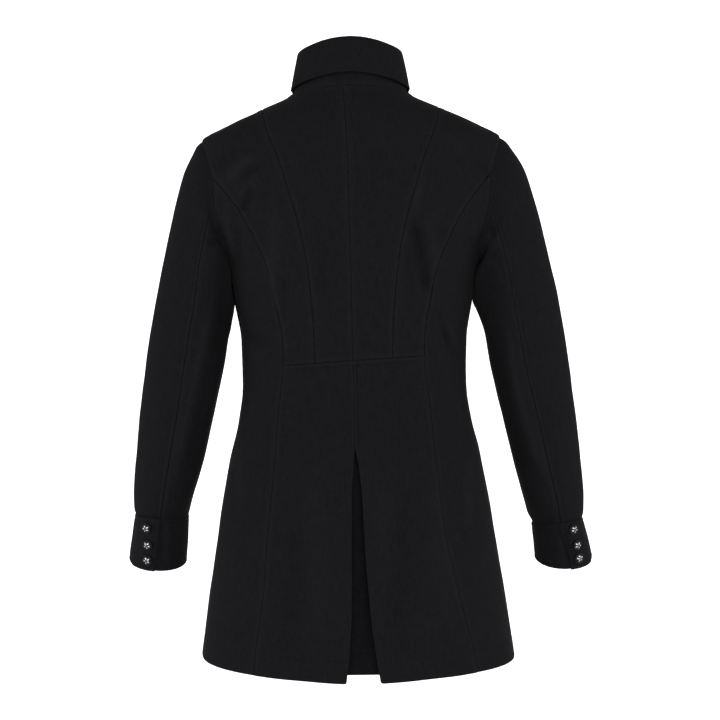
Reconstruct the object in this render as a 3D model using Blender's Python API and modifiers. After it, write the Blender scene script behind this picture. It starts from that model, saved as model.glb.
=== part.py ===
"""Admiral coat in black wool, filled out as if worn, with no wearer inside.

Metres, +Z up. The origin is the middle of the neck base, where the shoulders carry the coat.
The back faces +Y and the wearer's left is +X. Every width and depth is an outside size of the
cloth. The surface that the functions work out is the inner face, and each wall grows outwards.
"""

import math
from collections import namedtuple

import bpy
import numpy as np
from mathutils import Vector

# Cloth and sewing
WALL = 0.002
SEAM_GAP = 0.0003
TOUCH_GAP = 0.001

# Body of the coat: one row for each level, from the neck base to the hem
Level = namedtuple("Level", "z half_width back_depth front_depth fullness")
BODY = (
    Level(0.010, 0.078, 0.070, 0.050, 2.00),
    Level(0.000, 0.082, 0.072, 0.055, 2.00),
    Level(-0.0215, 0.1245, 0.085, 0.075, 2.05),
    Level(-0.0355, 0.1575, 0.092, 0.085, 2.10),
    Level(-0.050, 0.1855, 0.097, 0.091, 2.12),
    Level(-0.0585, 0.2020, 0.0996, 0.0944, 2.14),
    Level(-0.063, 0.2068, 0.1006, 0.0961, 2.16),
    Level(-0.070, 0.2095, 0.1019, 0.0987, 2.19),
    Level(-0.100, 0.213, 0.106, 0.108, 2.30),
    Level(-0.150, 0.214, 0.109, 0.120, 2.30),
    Level(-0.175, 0.205, 0.108, 0.125, 2.30),
    Level(-0.215, 0.180, 0.106, 0.128, 2.30),
    Level(-0.250, 0.170, 0.101, 0.124, 2.30),
    Level(-0.284, 0.165, 0.096, 0.118, 2.30),
    Level(-0.339, 0.156, 0.090, 0.106, 2.30),
    Level(-0.395, 0.155, 0.092, 0.104, 2.30),
    Level(-0.450, 0.1605, 0.104, 0.110, 2.25),
    Level(-0.492, 0.170, 0.116, 0.117, 2.20),
    Level(-0.562, 0.184, 0.134, 0.128, 2.20),
    Level(-0.631, 0.195, 0.148, 0.137, 2.15),
    Level(-0.701, 0.206, 0.159, 0.146, 2.10),
    Level(-0.780, 0.217, 0.170, 0.156, 2.10),
)
Hem = namedtuple("Hem", "x z")
HEM = (
    Hem(-0.220, -0.7790),
    Hem(-0.100, -0.7800),
    Hem(0.000, -0.7830),
    Hem(0.100, -0.7790),
    Hem(0.220, -0.7710),
)
NECK_BACK_RISE = 0.003
NECK_FRONT_DROP = 0.070
SHOULDER_SEAM_Y = 0.011

# Back seams: how far each lies from the middle, on the wearer's left and right
Seam = namedtuple("Seam", "z left right")
CENTRE_BACK = (
    Seam(0.010, 0.010, -0.010),
    Seam(-0.090, 0.005, -0.005),
    Seam(-0.200, 0.003, -0.003),
    Seam(-0.380, 0.001, -0.001),
)
INNER_PRINCESS = (
    Seam(-0.0205, 0.1225, 0.1225),
    Seam(-0.060, 0.1120, 0.1120),
    Seam(-0.100, 0.0965, 0.0965),
    Seam(-0.145, 0.0830, 0.0830),
    Seam(-0.176, 0.0735, 0.0735),
    Seam(-0.235, 0.0615, 0.0615),
    Seam(-0.285, 0.0560, 0.0560),
    Seam(-0.320, 0.0535, 0.0535),
    Seam(-0.380, 0.0515, 0.0515),
)
OUTER_PRINCESS = (
    Seam(-0.119, 0.1880, 0.1880),
    Seam(-0.140, 0.1700, 0.1700),
    Seam(-0.170, 0.1485, 0.1485),
    Seam(-0.210, 0.1280, 0.1280),
    Seam(-0.240, 0.1150, 0.1150),
    Seam(-0.285, 0.1060, 0.1060),
    Seam(-0.337, 0.0960, 0.0960),
    Seam(-0.370, 0.0950, 0.0950),
    Seam(-0.430, 0.1015, 0.1015),
    Seam(-0.490, 0.1060, 0.1060),
    Seam(-0.555, 0.1120, 0.1120),
    Seam(-0.605, 0.1170, 0.1180),
    Seam(-0.660, 0.1210, 0.1305),
    Seam(-0.710, 0.1275, 0.1425),
    Seam(-0.745, 0.1330, 0.1520),
    Seam(-0.790, 0.1380, 0.1610),
)
WAIST_Z = -0.368
WAIST_TILT = 0.055
SHOULDER_PRINCESS_Z = INNER_PRINCESS[0].z
ARMHOLE_PRINCESS_Z = OUTER_PRINCESS[0].z

# Inverted pleat at the back: how far each folded edge stands from the middle
PLEAT_EDGE = (
    Seam(-0.360, 0.0010, -0.0007),
    Seam(-0.484, 0.0002, 0.0002),
    Seam(-0.500, 0.0012, 0.0036),
    Seam(-0.526, 0.0036, 0.0068),
    Seam(-0.555, 0.0049, 0.0090),
    Seam(-0.605, 0.0052, 0.0113),
    Seam(-0.670, 0.0060, 0.0150),
    Seam(-0.720, 0.0082, 0.0202),
    Seam(-0.790, 0.0150, 0.0305),
)
PleatDepth = namedtuple("PleatDepth", "z depth spread")
PLEAT_DEPTH = (
    PleatDepth(-0.360, 0.007, 0.001),
    PleatDepth(-0.490, 0.010, 0.004),
    PleatDepth(-0.640, 0.022, 0.014),
    PleatDepth(-0.790, 0.034, 0.022),
)
PLEAT_ROLL = 0.002
PLEAT_RETURN_PARTS = (1.0, 0.5)
PLEAT_ROLL_TURNS = np.radians((0, 30, 60))
UNDERLAY_TOP_Z = -0.470
UNDERLAY_LAP = 0.004
UNDERLAY_HEM_RISE = 0.004
UNDERLAY_GAP = 0.0036

# Armhole: an upright oval on the side of the body
ARMHOLE_Z = -0.148
ARMHOLE_HALF_HEIGHT = 0.0865
ARMHOLE_HALF_DEPTH = 0.0625
ARMHOLE_PRINCESS_TURN = math.acos((ARMHOLE_PRINCESS_Z - ARMHOLE_Z) / ARMHOLE_HALF_HEIGHT)
SHOULDER_TIP_TURN = math.asin(SHOULDER_SEAM_Y / ARMHOLE_HALF_DEPTH)
SLEEVE_SEAM_STEP = WALL + 0.0010

# Sleeve: rings from the armhole to under the cuff, each between its outer and inner points. The
# forearms hang a little differently, so the last rings and the cuffs have a table for each side.
SleeveRing = namedtuple("SleeveRing", "outer_x outer_z inner_x inner_z y half_depth back_drop")
SLEEVE = (
    SleeveRing(0.2065, -0.0615, 0.1735, -0.2345, 0.000, 0.0625, 0.00),
    SleeveRing(0.2128, -0.0662, 0.1790, -0.2350, 0.000, 0.0625, 0.00),
    SleeveRing(0.2195, -0.0775, 0.1810, -0.2410, 0.000, 0.0630, 0.00),
    SleeveRing(0.2335, -0.1030, 0.1650, -0.2520, 0.001, 0.0635, 0.00),
    SleeveRing(0.2470, -0.1446, 0.1560, -0.2690, 0.002, 0.0630, 0.00),
    SleeveRing(0.2575, -0.1860, 0.1580, -0.2850, 0.003, 0.0620, 0.02),
    SleeveRing(0.2655, -0.2200, 0.1655, -0.2985, 0.003, 0.0610, 0.03),
    SleeveRing(0.2800, -0.2880, 0.1768, -0.3300, 0.003, 0.0590, 0.06),
    SleeveRing(0.2916, -0.3570, 0.1847, -0.3760, 0.000, 0.0565, 0.14),
    SleeveRing(0.2995, -0.4130, 0.1966, -0.4315, -0.011, 0.0540, 0.26),
    SleeveRing(0.3073, -0.4840, 0.2118, -0.5000, -0.032, 0.0505, 0.34),
)
SLEEVE_END = {
    1: (
        SleeveRing(0.3140, -0.5520, 0.2300, -0.5600, -0.0545, 0.0465, 0.24),
        SleeveRing(0.3135, -0.5710, 0.2350, -0.5770, -0.0610, 0.0455, 0.12),
        SleeveRing(0.3095, -0.5840, 0.2400, -0.5890, -0.0645, 0.0440, 0.06),
        SleeveRing(0.3095, -0.6180, 0.2430, -0.6220, -0.0750, 0.0425, 0.06),
    ),
    -1: (
        SleeveRing(0.3140, -0.5600, 0.2290, -0.5700, -0.0560, 0.0465, 0.20),
        SleeveRing(0.3130, -0.5850, 0.2355, -0.5870, -0.0640, 0.0455, 0.06),
        SleeveRing(0.3095, -0.5970, 0.2423, -0.5995, -0.0685, 0.0435, 0.00),
        SleeveRing(0.3095, -0.6300, 0.2450, -0.6370, -0.0790, 0.0425, 0.06),
    ),
}
CUFF = {
    1: (
        SleeveRing(0.3125, -0.5810, 0.2360, -0.5860, -0.0640, 0.0485, 0.05),
        SleeveRing(0.3185, -0.6135, 0.2385, -0.6205, -0.0755, 0.0484, 0.14),
        SleeveRing(0.3240, -0.6460, 0.2415, -0.6550, -0.0870, 0.0486, 0.22),
    ),
    -1: (
        SleeveRing(0.3125, -0.5960, 0.2383, -0.6040, -0.0695, 0.0485, 0.00),
        SleeveRing(0.3185, -0.6240, 0.2400, -0.6300, -0.0780, 0.0484, 0.14),
        SleeveRing(0.3240, -0.6520, 0.2415, -0.6552, -0.0870, 0.0486, 0.27),
    ),
}
ArmSwing = namedtuple("ArmSwing", "z left right")
ARM_SWING = (
    ArmSwing(-0.070, -0.0005, 0.0020),
    ArmSwing(-0.105, -0.0025, 0.0045),
    ArmSwing(-0.160, -0.0040, 0.0050),
    ArmSwing(-0.250, -0.0050, 0.0050),
    ArmSwing(-0.380, -0.0035, 0.0045),
    ArmSwing(-0.480, 0.0000, 0.0075),
    ArmSwing(-0.580, 0.0030, 0.0110),
    ArmSwing(-0.650, 0.0045, 0.0155),
)
ARMHOLE_RINGS = 3
ARMHOLE_FADE = 0.04
TOUCH_SOFTNESS = 0.002
VentAngle = namedtuple("VentAngle", "top mouth")
CUFF_VENT = {1: VentAngle(95, 91), -1: VentAngle(94, 84)}
CUFF_LAP_ANGLE = math.radians(38)
CUFF_LAP_RAMP = math.radians(30)

# Collar: the stand rises from the neck seam, and the fall turns over it
STAND_RISE_BACK = 0.0640
STAND_RISE_SIDE = 0.0555
STAND_RISE_FRONT = 0.043
STAND_LEAN_SIDE = 0.89
STAND_LEAN_BACK = 0.94
STAND_FRONT_GAP = 0.012
STAND_SEAM_STEP = WALL + 0.0008
STAND_FRONT_STEP = STAND_SEAM_STEP + WALL + 0.0020
FALL_DROP_BACK = 0.0460
FALL_DROP_SIDE = 0.0490
FALL_DROP_FRONT = 0.062
FALL_FLARE_BACK = 0.009
FALL_FLARE_SIDE = 0.0098
FALL_FLARE_FRONT = 0.016
FALL_ROLL = 0.0024
FALL_ROLL_TURNS = np.radians((150, 110, 70, 35, 0))
FALL_REST_GAP = 0.0035
SHOULDER_LOW_Z = -0.2

# Fronts: how far each edge passes the middle, the wearer's right over the left
FrontEdge = namedtuple("FrontEdge", "z right left")
FRONT_EDGE = (
    FrontEdge(-0.800, 0.075, 0.045),
    FrontEdge(-0.180, 0.075, 0.045),
    FrontEdge(-0.125, 0.060, 0.036),
    FrontEdge(-0.060, 0.018, 0.012),
)
UNDER_STEP = WALL + 0.0016
UNDER_STEP_RUN = 0.014
UNDER_STEP_EARLY = 0.2
FRONT_TOP_REACH = 6

# Buttons
Turned = namedtuple("Turned", "radius height")
BUTTON_PROFILE = (
    Turned(0.00, 1.00),
    Turned(0.42, 0.95),
    Turned(0.72, 0.78),
    Turned(0.80, 0.58),
    Turned(1.00, 0.52),
    Turned(0.96, 0.18),
    Turned(0.60, 0.00),
    Turned(0.00, 0.00),
)
BUTTON_SIDES = 14
BUTTON_MERGE = 0.0001
Button = namedtuple("Button", "diameter height gap")
CUFF_BUTTON = Button(0.0150, 0.0052, 0.0004)
FRONT_BUTTON = Button(0.0220, 0.0065, 0.0008)
ButtonPlace = namedtuple("ButtonPlace", "down angle")
CUFF_BUTTONS = {
    1: (ButtonPlace(0.17, 71), ButtonPlace(0.49, 76), ButtonPlace(0.78, 78)),
    -1: (ButtonPlace(0.14, 69), ButtonPlace(0.48, 68), ButtonPlace(0.76, 69)),
}
FRONT_BUTTON_X = 0.052
FRONT_BUTTON_Z = (-0.155, -0.235, -0.315, -0.395)

# Broad folds of the body: soft ridges and troughs from a top point to a bottom point
Fold = namedtuple("Fold", "face x_top z_top x_bottom z_bottom half_width height")
FOLDS = (
    Fold(1, -0.150, -0.420, -0.156, -0.640, 0.022, 0.0035),
    Fold(1, 0.152, -0.450, 0.160, -0.650, 0.022, 0.0030),
    Fold(1, -0.086, -0.165, -0.090, -0.300, 0.020, -0.0030),
    Fold(1, 0.062, -0.560, 0.072, -0.800, 0.030, -0.0035),
    Fold(1, -0.085, -0.580, -0.098, -0.800, 0.028, -0.0035),
    Fold(-1, 0.150, -0.430, 0.158, -0.800, 0.026, -0.0040),
    Fold(-1, -0.148, -0.450, -0.160, -0.800, 0.026, -0.0040),
)
FOLD_FADE = 0.4
FOLD_RUN_OUT = 1.25

# How finely each piece is divided
CENTRE_COLUMNS = 7
MID_COLUMNS = 5
SIDE_COLUMNS = 6
SKIRT_COLUMNS = 6
NECK_FRONT_COLUMNS = 8
SKIRT_ROWS = 11
BODICE_ROWS = 7
ARMHOLE_ROWS = 6
ARMHOLE_FRONT_ROWS = 12
NECK_TO_PRINCESS_ROWS = 3
UNDERLAY_COLUMNS = 6
SLEEVE_STEPS = 2
SLEEVE_COLUMNS = 8
CUFF_COLUMNS = 26
CUFF_ROWS = 4
COLLAR_COLUMNS = 26
STAND_ROWS = 3
FALL_ROWS = 6
DENSE = 240
HALVINGS = 30
SMALL_TURN = 0.05
SMALL_STEP = 0.01


def smooth(xs, ys, x):
    """A smooth curve through the points (xs, ys), with no overshoot between them, read at x."""
    xs = np.asarray(xs, float)
    ys = np.asarray(ys, float)
    if xs[0] > xs[-1]:
        xs, ys = xs[::-1], ys[::-1]
    step = np.diff(xs)
    slope = np.diff(ys) / step
    product = slope[:-1] * slope[1:]
    total = slope[:-1] + slope[1:]
    tangent = np.concatenate(([slope[0]], np.zeros(len(xs) - 2), [slope[-1]]))
    same = product > 0
    tangent[1:-1][same] = 2 * product[same] / total[same]
    i = np.clip(np.searchsorted(xs, x) - 1, 0, len(xs) - 2)
    t = np.clip((x - xs[i]) / step[i], 0, 1)
    rise = ys[i] * (1 + 2 * t) * (1 - t) ** 2 + ys[i + 1] * t**2 * (3 - 2 * t)
    return rise + step[i] * t * (1 - t) * (tangent[i] * (1 - t) - tangent[i + 1] * t)


def read(table, column, at, key="z"):
    """One column of a table at any place between its rows."""
    return smooth([getattr(row, key) for row in table], [getattr(row, column) for row in table], at)


def signed_power(value, power):
    return np.sign(value) * np.abs(value) ** power


def ease(t):
    """0 to 1 with a soft start and end."""
    t = np.clip(t, 0, 1)
    return t * t * (3 - 2 * t)


def body_section(z):
    """Outside half width, back depth, front depth and fullness of the body at a level."""
    return tuple(read(BODY, name, z) for name in Level._fields[1:])


def fold_height(x, face, z):
    """How far the broad folds lift the cloth at a point of the back (face 1) or front (face -1)."""
    total = np.zeros(np.broadcast(x, z).shape)
    for fold in FOLDS:
        along = (fold.z_top - z) / (fold.z_top - fold.z_bottom)
        middle = fold.x_top + (fold.x_bottom - fold.x_top) * along
        across = np.exp(-(((x - middle) / fold.half_width) ** 2))
        ends = ease(along / FOLD_FADE) * ease((FOLD_RUN_OUT - along) / FOLD_FADE)
        total = total + np.where(face == fold.face, fold.height * across * ends, 0)
    return total


def body(angle, z, side=1, out=0.0):
    """A point of the body's inner face. The angle is 0 at the middle back and pi at the front."""
    width, back, front, fullness = body_section(z)
    sin, cos = np.sin(angle), np.cos(angle)
    depth = np.where(cos >= 0, back, front)
    x = width * signed_power(sin, 2 / fullness)
    y = depth * signed_power(cos, 2 / fullness)
    lift = out - WALL + fold_height(side * x, np.where(cos >= 0, 1, -1), z)
    return np.stack([side * (x + lift * sin), y + lift * cos, z + 0 * x], axis=-1)


def back_angle(x, z):
    """The angle of a point of the back that lies x from the middle."""
    width, _, _, fullness = body_section(z)
    return np.arcsin(np.clip(signed_power(x / width, fullness / 2), -1, 1))


def front_angle(x, z):
    return math.pi - back_angle(x, z)


def depth_angle(y, z):
    """The angle of a point of the side that lies y from the middle of the depth."""
    _, back, front, fullness = body_section(z)
    depth = np.where(y >= 0, back, front)
    return np.arccos(signed_power(y / depth, fullness / 2))


def spaced(points, rows, side=1):
    """The given line on the body, as (angle, z) points, cut into rows of equal real length."""
    places = body(points[:, 0], points[:, 1], side)
    run = np.concatenate(([0], np.cumsum(np.linalg.norm(np.diff(places, axis=0), axis=1))))
    at = np.linspace(0, run[-1], rows + 1)
    return np.stack([np.interp(at, run, points[:, k]) for k in (0, 1)], axis=-1)


def back_seam(table, column, z_from, z_to, rows, side):
    """A seam of the back between two levels."""
    z = np.linspace(z_from, z_to, DENSE)
    return spaced(np.stack([back_angle(read(table, column, z), z), z], axis=-1), rows, side)


def hem_z(x, side):
    return read(HEM, "z", side * x, key="x")


def waist_z(x, side):
    return WAIST_Z - WAIST_TILT * side * x


def waist_line(x_from, x_to, steps, side):
    """A stretch of the waist seam, between two distances from the middle."""
    x = np.linspace(x_from, x_to, steps + 1)
    z = waist_z(x, side)
    return np.stack([back_angle(x, z), z], axis=-1)


def armhole_line(turn, step=0.0):
    """The armhole's edge, or a line a step inside it. The turn is 0 on top, a quarter at the back."""
    z = ARMHOLE_Z + (ARMHOLE_HALF_HEIGHT - step) * np.cos(turn)
    y = (ARMHOLE_HALF_DEPTH - step) * np.sin(turn)
    return np.stack([depth_angle(y, z), z], axis=-1)


def armhole(turn_from, turn_to, rows):
    return spaced(armhole_line(np.linspace(turn_from, turn_to, DENSE)), rows)


def shoulder_line(z_from, z_to, rows):
    """A stretch of the shoulder seam, between two levels."""
    z = np.linspace(z_from, z_to, DENSE)
    return spaced(np.stack([depth_angle(SHOULDER_SEAM_Y + 0 * z, z), z], axis=-1), rows)


def straight(start, end, steps):
    t = np.linspace(0, 1, steps + 1)[:, None]
    return (1 - t) * np.asarray(start) + t * np.asarray(end)


def joined(*lines):
    """Lines that follow each other, with the shared ends kept once."""
    return np.concatenate([lines[0]] + [line[1:] for line in lines[1:]])


def patch(left, right, bottom, top, top_reach=1):
    """Fills four edges with a grid of (angle, z) points, rows upwards and columns left to right.

    The higher the reach, the nearer to the top its own curve fades out.
    """
    t = np.linspace(0, 1, len(left))[:, None, None] ** top_reach
    s = np.linspace(0, 1, len(bottom))[None, :, None]
    sides = (1 - s) * left[:, None] + s * right[:, None]
    ends = (1 - t) * bottom[None] + t * top[None]
    low = (1 - s) * bottom[0] + s * bottom[-1]
    high = (1 - s) * top[0] + s * top[-1]
    return sides + ends - (1 - t) * low - t * high


def trimmed(grid, gap=SEAM_GAP / 2):
    """The grid with its four edges drawn in, so that it stays clear of the next piece."""
    grid = np.array(grid)
    for edge, inner in ((grid[0], grid[1]), (grid[-1], grid[-2])):
        edge += gap * (inner - edge) / np.linalg.norm(inner - edge, axis=-1, keepdims=True)
    for edge, inner in ((grid[:, 0], grid[:, 1]), (grid[:, -1], grid[:, -2])):
        edge += gap * (inner - edge) / np.linalg.norm(inner - edge, axis=-1, keepdims=True)
    return grid


def make_material(name, colour, roughness, metallic):
    material = bpy.data.materials.new(name)
    material.use_nodes = True
    shader = material.node_tree.nodes["Principled BSDF"]
    shader.inputs["Base Color"].default_value = (*colour, 1)
    shader.inputs["Roughness"].default_value = roughness
    shader.inputs["Metallic"].default_value = metallic
    return material


def add_part(name, mesh, material):
    part = bpy.data.objects.new(name, mesh)
    part.data.materials.append(material)
    coat_parts.objects.link(part)
    part.parent = coat
    return part


def cloth(name, grid, flip=False):
    """A wall of cloth on a grid of points. Its rows and columns run so that the faces point out."""
    rows, columns = grid.shape[:2]
    faces = []
    for i in range(rows - 1):
        for j in range(columns - 1):
            first = i * columns + j
            face = (first, first + columns, first + columns + 1, first + 1)
            faces.append(face[::-1] if flip else face)
    mesh = bpy.data.meshes.new(name)
    mesh.from_pydata(grid.reshape(-1, 3).tolist(), [], faces)
    mesh.shade_smooth()
    part = add_part(name, mesh, wool)
    thicken = part.modifiers.new("Cloth wall", "SOLIDIFY")
    thicken.thickness = WALL
    thicken.offset = 1


def side_name(side):
    return "left" if side > 0 else "right"


def back_panels(side):
    """Centre back and mid back, from the waist seam to the neck, shoulder and armhole."""
    name = side_name(side)
    middle_x = read(CENTRE_BACK, name, WAIST_Z)
    inner_x = read(INNER_PRINCESS, name, WAIST_Z)
    outer_x = read(OUTER_PRINCESS, name, WAIST_Z)
    inner_z = waist_z(inner_x, side)
    outer_z = waist_z(outer_x, side)
    rows = BODICE_ROWS + ARMHOLE_ROWS
    inner = back_seam(INNER_PRINCESS, name, inner_z, SHOULDER_PRINCESS_Z, rows, side)
    shoulder = shoulder_line(SHOULDER_PRINCESS_Z, 0.0, NECK_TO_PRINCESS_ROWS)
    inner[-1] = shoulder[0]
    edge = joined(inner, shoulder)
    up = (edge[:, 1] - edge[0, 1]) / (edge[-1, 1] - edge[0, 1])
    centre_z = WAIST_Z + (NECK_BACK_RISE - WAIST_Z) * up
    centre = np.stack([back_angle(read(CENTRE_BACK, name, centre_z), centre_z), centre_z], axis=-1)
    neck = straight(centre[-1], edge[-1], CENTRE_COLUMNS)
    waist = waist_line(middle_x, inner_x, CENTRE_COLUMNS, side)
    centre[0], edge[0] = waist[0], waist[-1]
    grid = patch(centre, edge, waist, neck)
    cloth("back_centre_" + name, trimmed(body(grid[..., 0], grid[..., 1], side)), side < 0)

    arm = armhole(ARMHOLE_PRINCESS_TURN, SHOULDER_TIP_TURN, ARMHOLE_ROWS)
    outer = back_seam(OUTER_PRINCESS, name, outer_z, ARMHOLE_PRINCESS_Z, BODICE_ROWS, side)
    outer[-1] = arm[0]
    shoulder = shoulder_line(SHOULDER_PRINCESS_Z, arm[-1][1], MID_COLUMNS)
    shoulder[-1] = arm[-1]
    waist = waist_line(inner_x, outer_x, MID_COLUMNS, side)
    inner[0], outer[0] = waist[0], waist[-1]
    grid = patch(inner, joined(outer, arm), waist, shoulder)
    cloth("back_mid_" + name, trimmed(body(grid[..., 0], grid[..., 1], side)), side < 0)


def outer_seam(side):
    """The outer princess seam from the hem up to the armhole, the edge of the side panel."""
    name = side_name(side)
    outer_waist = waist_z(read(OUTER_PRINCESS, name, WAIST_Z), side)
    hem = hem_z(getattr(OUTER_PRINCESS[-1], name), side)
    skirt = back_seam(OUTER_PRINCESS, name, hem, outer_waist, SKIRT_ROWS, side)
    bodice = back_seam(OUTER_PRINCESS, name, outer_waist, ARMHOLE_PRINCESS_Z, BODICE_ROWS, side)
    return skirt, bodice


def side_seam(side):
    """The seam under the arm, from the hem to the armhole."""
    z = np.linspace(hem_z(BODY[-1].half_width, side), ARMHOLE_Z - ARMHOLE_HALF_HEIGHT, DENSE)
    return spaced(np.stack([0 * z + math.pi / 2, z], axis=-1), SKIRT_ROWS + BODICE_ROWS)


def side_panel(side):
    name = side_name(side)
    skirt, bodice = outer_seam(side)
    arm = armhole(ARMHOLE_PRINCESS_TURN, math.pi, SIDE_COLUMNS)
    edge = joined(skirt, bodice)
    edge[-1] = arm[0]
    under = side_seam(side)
    hem = straight(edge[0], under[0], SIDE_COLUMNS)
    grid = patch(edge, under, hem, arm)
    cloth("side_panel_" + name, trimmed(body(grid[..., 0], grid[..., 1], side)), side < 0)


def skirt_back(side):
    """The back of the skirt, with its edge rolled in and turned back for the inverted pleat."""
    name = side_name(side)
    princess = outer_seam(side)[0][::-1]
    z_edge = np.linspace(WAIST_Z, hem_z(0.0, side), SKIRT_ROWS + 1)
    fold_x = read(PLEAT_EDGE, name, z_edge) + SEAM_GAP / 2
    start_x = fold_x + WALL + PLEAT_ROLL
    start = np.stack([back_angle(start_x, z_edge), z_edge], axis=-1)
    waist = waist_line(start_x[0], read(OUTER_PRINCESS, name, WAIST_Z), SKIRT_COLUMNS, side)
    start[0], princess[0] = waist[0], waist[-1]
    hem = straight(start[-1], princess[-1], SKIRT_COLUMNS)
    grid = patch(start, princess, waist, hem)
    panel = body(grid[..., 0], grid[..., 1])
    panel[..., 0] = np.maximum(panel[..., 0], start_x[:, None])

    depth = read(PLEAT_DEPTH, "depth", z_edge)
    spread = read(PLEAT_DEPTH, "spread", z_edge)
    y = panel[:, 0, 1]
    returned = []
    for part in PLEAT_RETURN_PARTS:
        inwards = PLEAT_ROLL + (depth - PLEAT_ROLL) * part
        returned.append((fold_x + WALL + spread * part, y - inwards))
    for turn in PLEAT_ROLL_TURNS:
        roll_x = fold_x + WALL + PLEAT_ROLL * (1 - math.cos(turn))
        returned.append((roll_x, y - PLEAT_ROLL * (1 - math.sin(turn))))
    turned = np.stack([np.stack([x, back, z_edge], axis=-1) for x, back in returned], axis=1)
    whole = np.concatenate([turned, panel], axis=1)[::-1]
    whole[..., 0] *= side
    cloth("skirt_back_" + name, trimmed(whole), side < 0)


def pleat_underlay():
    """The recessed cloth that joins the two returned edges of the pleat."""
    z = np.linspace(hem_z(0.0, 1) + UNDERLAY_HEM_RISE, UNDERLAY_TOP_Z, SKIRT_ROWS + 1)
    depth = read(PLEAT_DEPTH, "depth", z)
    spread = read(PLEAT_DEPTH, "spread", z)
    left = read(PLEAT_EDGE, "left", z) + spread + UNDERLAY_LAP
    right = -read(PLEAT_EDGE, "right", z) - spread - UNDERLAY_LAP
    back = body_section(z)[1] - depth - 2 * WALL - UNDERLAY_GAP
    across = np.linspace(0, 1, UNDERLAY_COLUMNS + 1)
    x = right[:, None] + (left - right)[:, None] * across
    y = back[:, None] + 0 * x
    cloth("pleat_underlay", trimmed(np.stack([x, y, z[:, None] + 0 * x], axis=-1)))


def front_panel(side):
    """A front: up the side seam and armhole, along the shoulder and neck, and down its own edge."""
    name = side_name(side)
    under = side_seam(side)
    arm = armhole(math.pi, 2 * math.pi + SHOULDER_TIP_TURN, ARMHOLE_FRONT_ROWS)
    shoulder = joined(
        shoulder_line(arm[-1][1], SHOULDER_PRINCESS_Z, MID_COLUMNS),
        shoulder_line(SHOULDER_PRINCESS_Z, 0.0, NECK_TO_PRINCESS_ROWS),
    )
    shoulder[0] = arm[-1]

    neck_x = body(*shoulder[-1])[0]
    edge_top_x = read(FRONT_EDGE, name, -NECK_FRONT_DROP)
    turn = np.linspace(0, math.pi / 2 + math.asin(edge_top_x / neck_x), DENSE)
    neck_z = -NECK_FRONT_DROP * np.sin(turn)
    neck = np.stack([front_angle(neck_x * np.cos(turn), neck_z), neck_z], axis=-1)
    neck = spaced(neck, NECK_FRONT_COLUMNS)
    neck[0] = shoulder[-1]
    top = joined(shoulder, neck)

    chest_z = np.linspace(under[-1][1], neck[-1][1], ARMHOLE_FRONT_ROWS + 1)
    edge_z = np.concatenate([under[:, 1], chest_z[1:]])
    edge = np.stack([front_angle(-read(FRONT_EDGE, name, edge_z), edge_z), edge_z], axis=-1)
    edge[-1] = neck[-1]
    hem = straight(under[0], edge[0], len(top) - 1)
    grid = patch(joined(under, arm), edge, hem, top, FRONT_TOP_REACH)
    step = 0.0
    if side > 0:
        places = body(grid[..., 0], grid[..., 1])
        covered = read(FRONT_EDGE, "right", places[..., 2]) + UNDER_STEP_RUN - places[..., 0]
        step = UNDER_STEP * ease(covered / UNDER_STEP_RUN + UNDER_STEP_EARLY)
        step = np.where(np.cos(grid[..., 0]) < 0, step, 0)
    cloth("front_" + name, trimmed(body(grid[..., 0], grid[..., 1], side, -step)), side < 0)


def ring(row, turn, wall):
    """A ring of a sleeve or cuff: its outer point is at turn 0 and its back at a quarter turn."""
    outer = np.array([row.outer_x, 0, row.outer_z])
    inner = np.array([row.inner_x, 0, row.inner_z])
    across = (outer - inner) / 2
    across = across * (1 - wall / np.linalg.norm(across))
    along = (row.half_depth - wall) * np.array([0, 1, -row.back_drop])
    centre = (outer + inner) / 2 + np.array([0, row.y, 0])
    return centre + np.cos(turn)[:, None] * across + np.sin(turn)[:, None] * along


def between_rings(table, at):
    """The ring of a table at any place between its rows."""
    index = np.arange(len(table))
    return SleeveRing(*(float(smooth(index, column, at)) for column in zip(*table)))


def clear_of_body(points):
    """Sleeve points past the armhole's edge, moved out to lie just clear of the side of the body."""
    x, y, z = points[..., 0], points[..., 1], points[..., 2]
    width, back, front, fullness = body_section(z)
    reach = WALL + TOUCH_GAP
    depth = np.where(y >= 0, back, front) + reach
    limit = (width + reach) * (1 - np.clip(np.abs(y) / depth, 0, 1) ** fullness) ** (1 / fullness)
    pushed = (x + limit + np.sqrt((x - limit) ** 2 + TOUCH_SOFTNESS**2)) / 2
    oval = np.hypot(y / ARMHOLE_HALF_DEPTH, (z - ARMHOLE_Z) / ARMHOLE_HALF_HEIGHT)
    past = ease((oval - 1) / ARMHOLE_FADE)
    return np.stack([x + (pushed - x) * past, y, z], axis=-1)


def swung(points, side):
    """Sleeve points moved out or in with the arm of their side."""
    points = np.array(points)
    points[..., 0] += read(ARM_SWING, side_name(side), points[..., 2])
    return points


def sleeve_rings(turn, side):
    """The sleeve's rings, drawn on to the armhole at the top and kept off the body below it."""
    hole = body(*armhole_line(turn, SLEEVE_SEAM_STEP).T)
    to_hole = hole - ring(SLEEVE[0], turn, WALL)
    table = SLEEVE + SLEEVE_END[side]
    rings = []
    for at in np.linspace(0, len(table) - 1, (len(table) - 1) * SLEEVE_STEPS + 1):
        fade = (1 - min(at / ARMHOLE_RINGS, 1)) ** 2
        free = ring(between_rings(table, at), turn, WALL)
        free = free + (1 - fade) * (swung(free, side) - free)
        rings.append(clear_of_body(free + fade * to_hole))
    return np.array(rings) * np.array([side, 1, 1])


def sleeve(side):
    name = side_name(side)
    quarter = math.pi / 2
    for half, start in (("upper", -quarter), ("under", quarter)):
        turn = np.linspace(start, start + math.pi, SLEEVE_COLUMNS + 1)
        cloth(f"sleeve_{half}_{name}", trimmed(sleeve_rings(turn, side)), side < 0)


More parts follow.
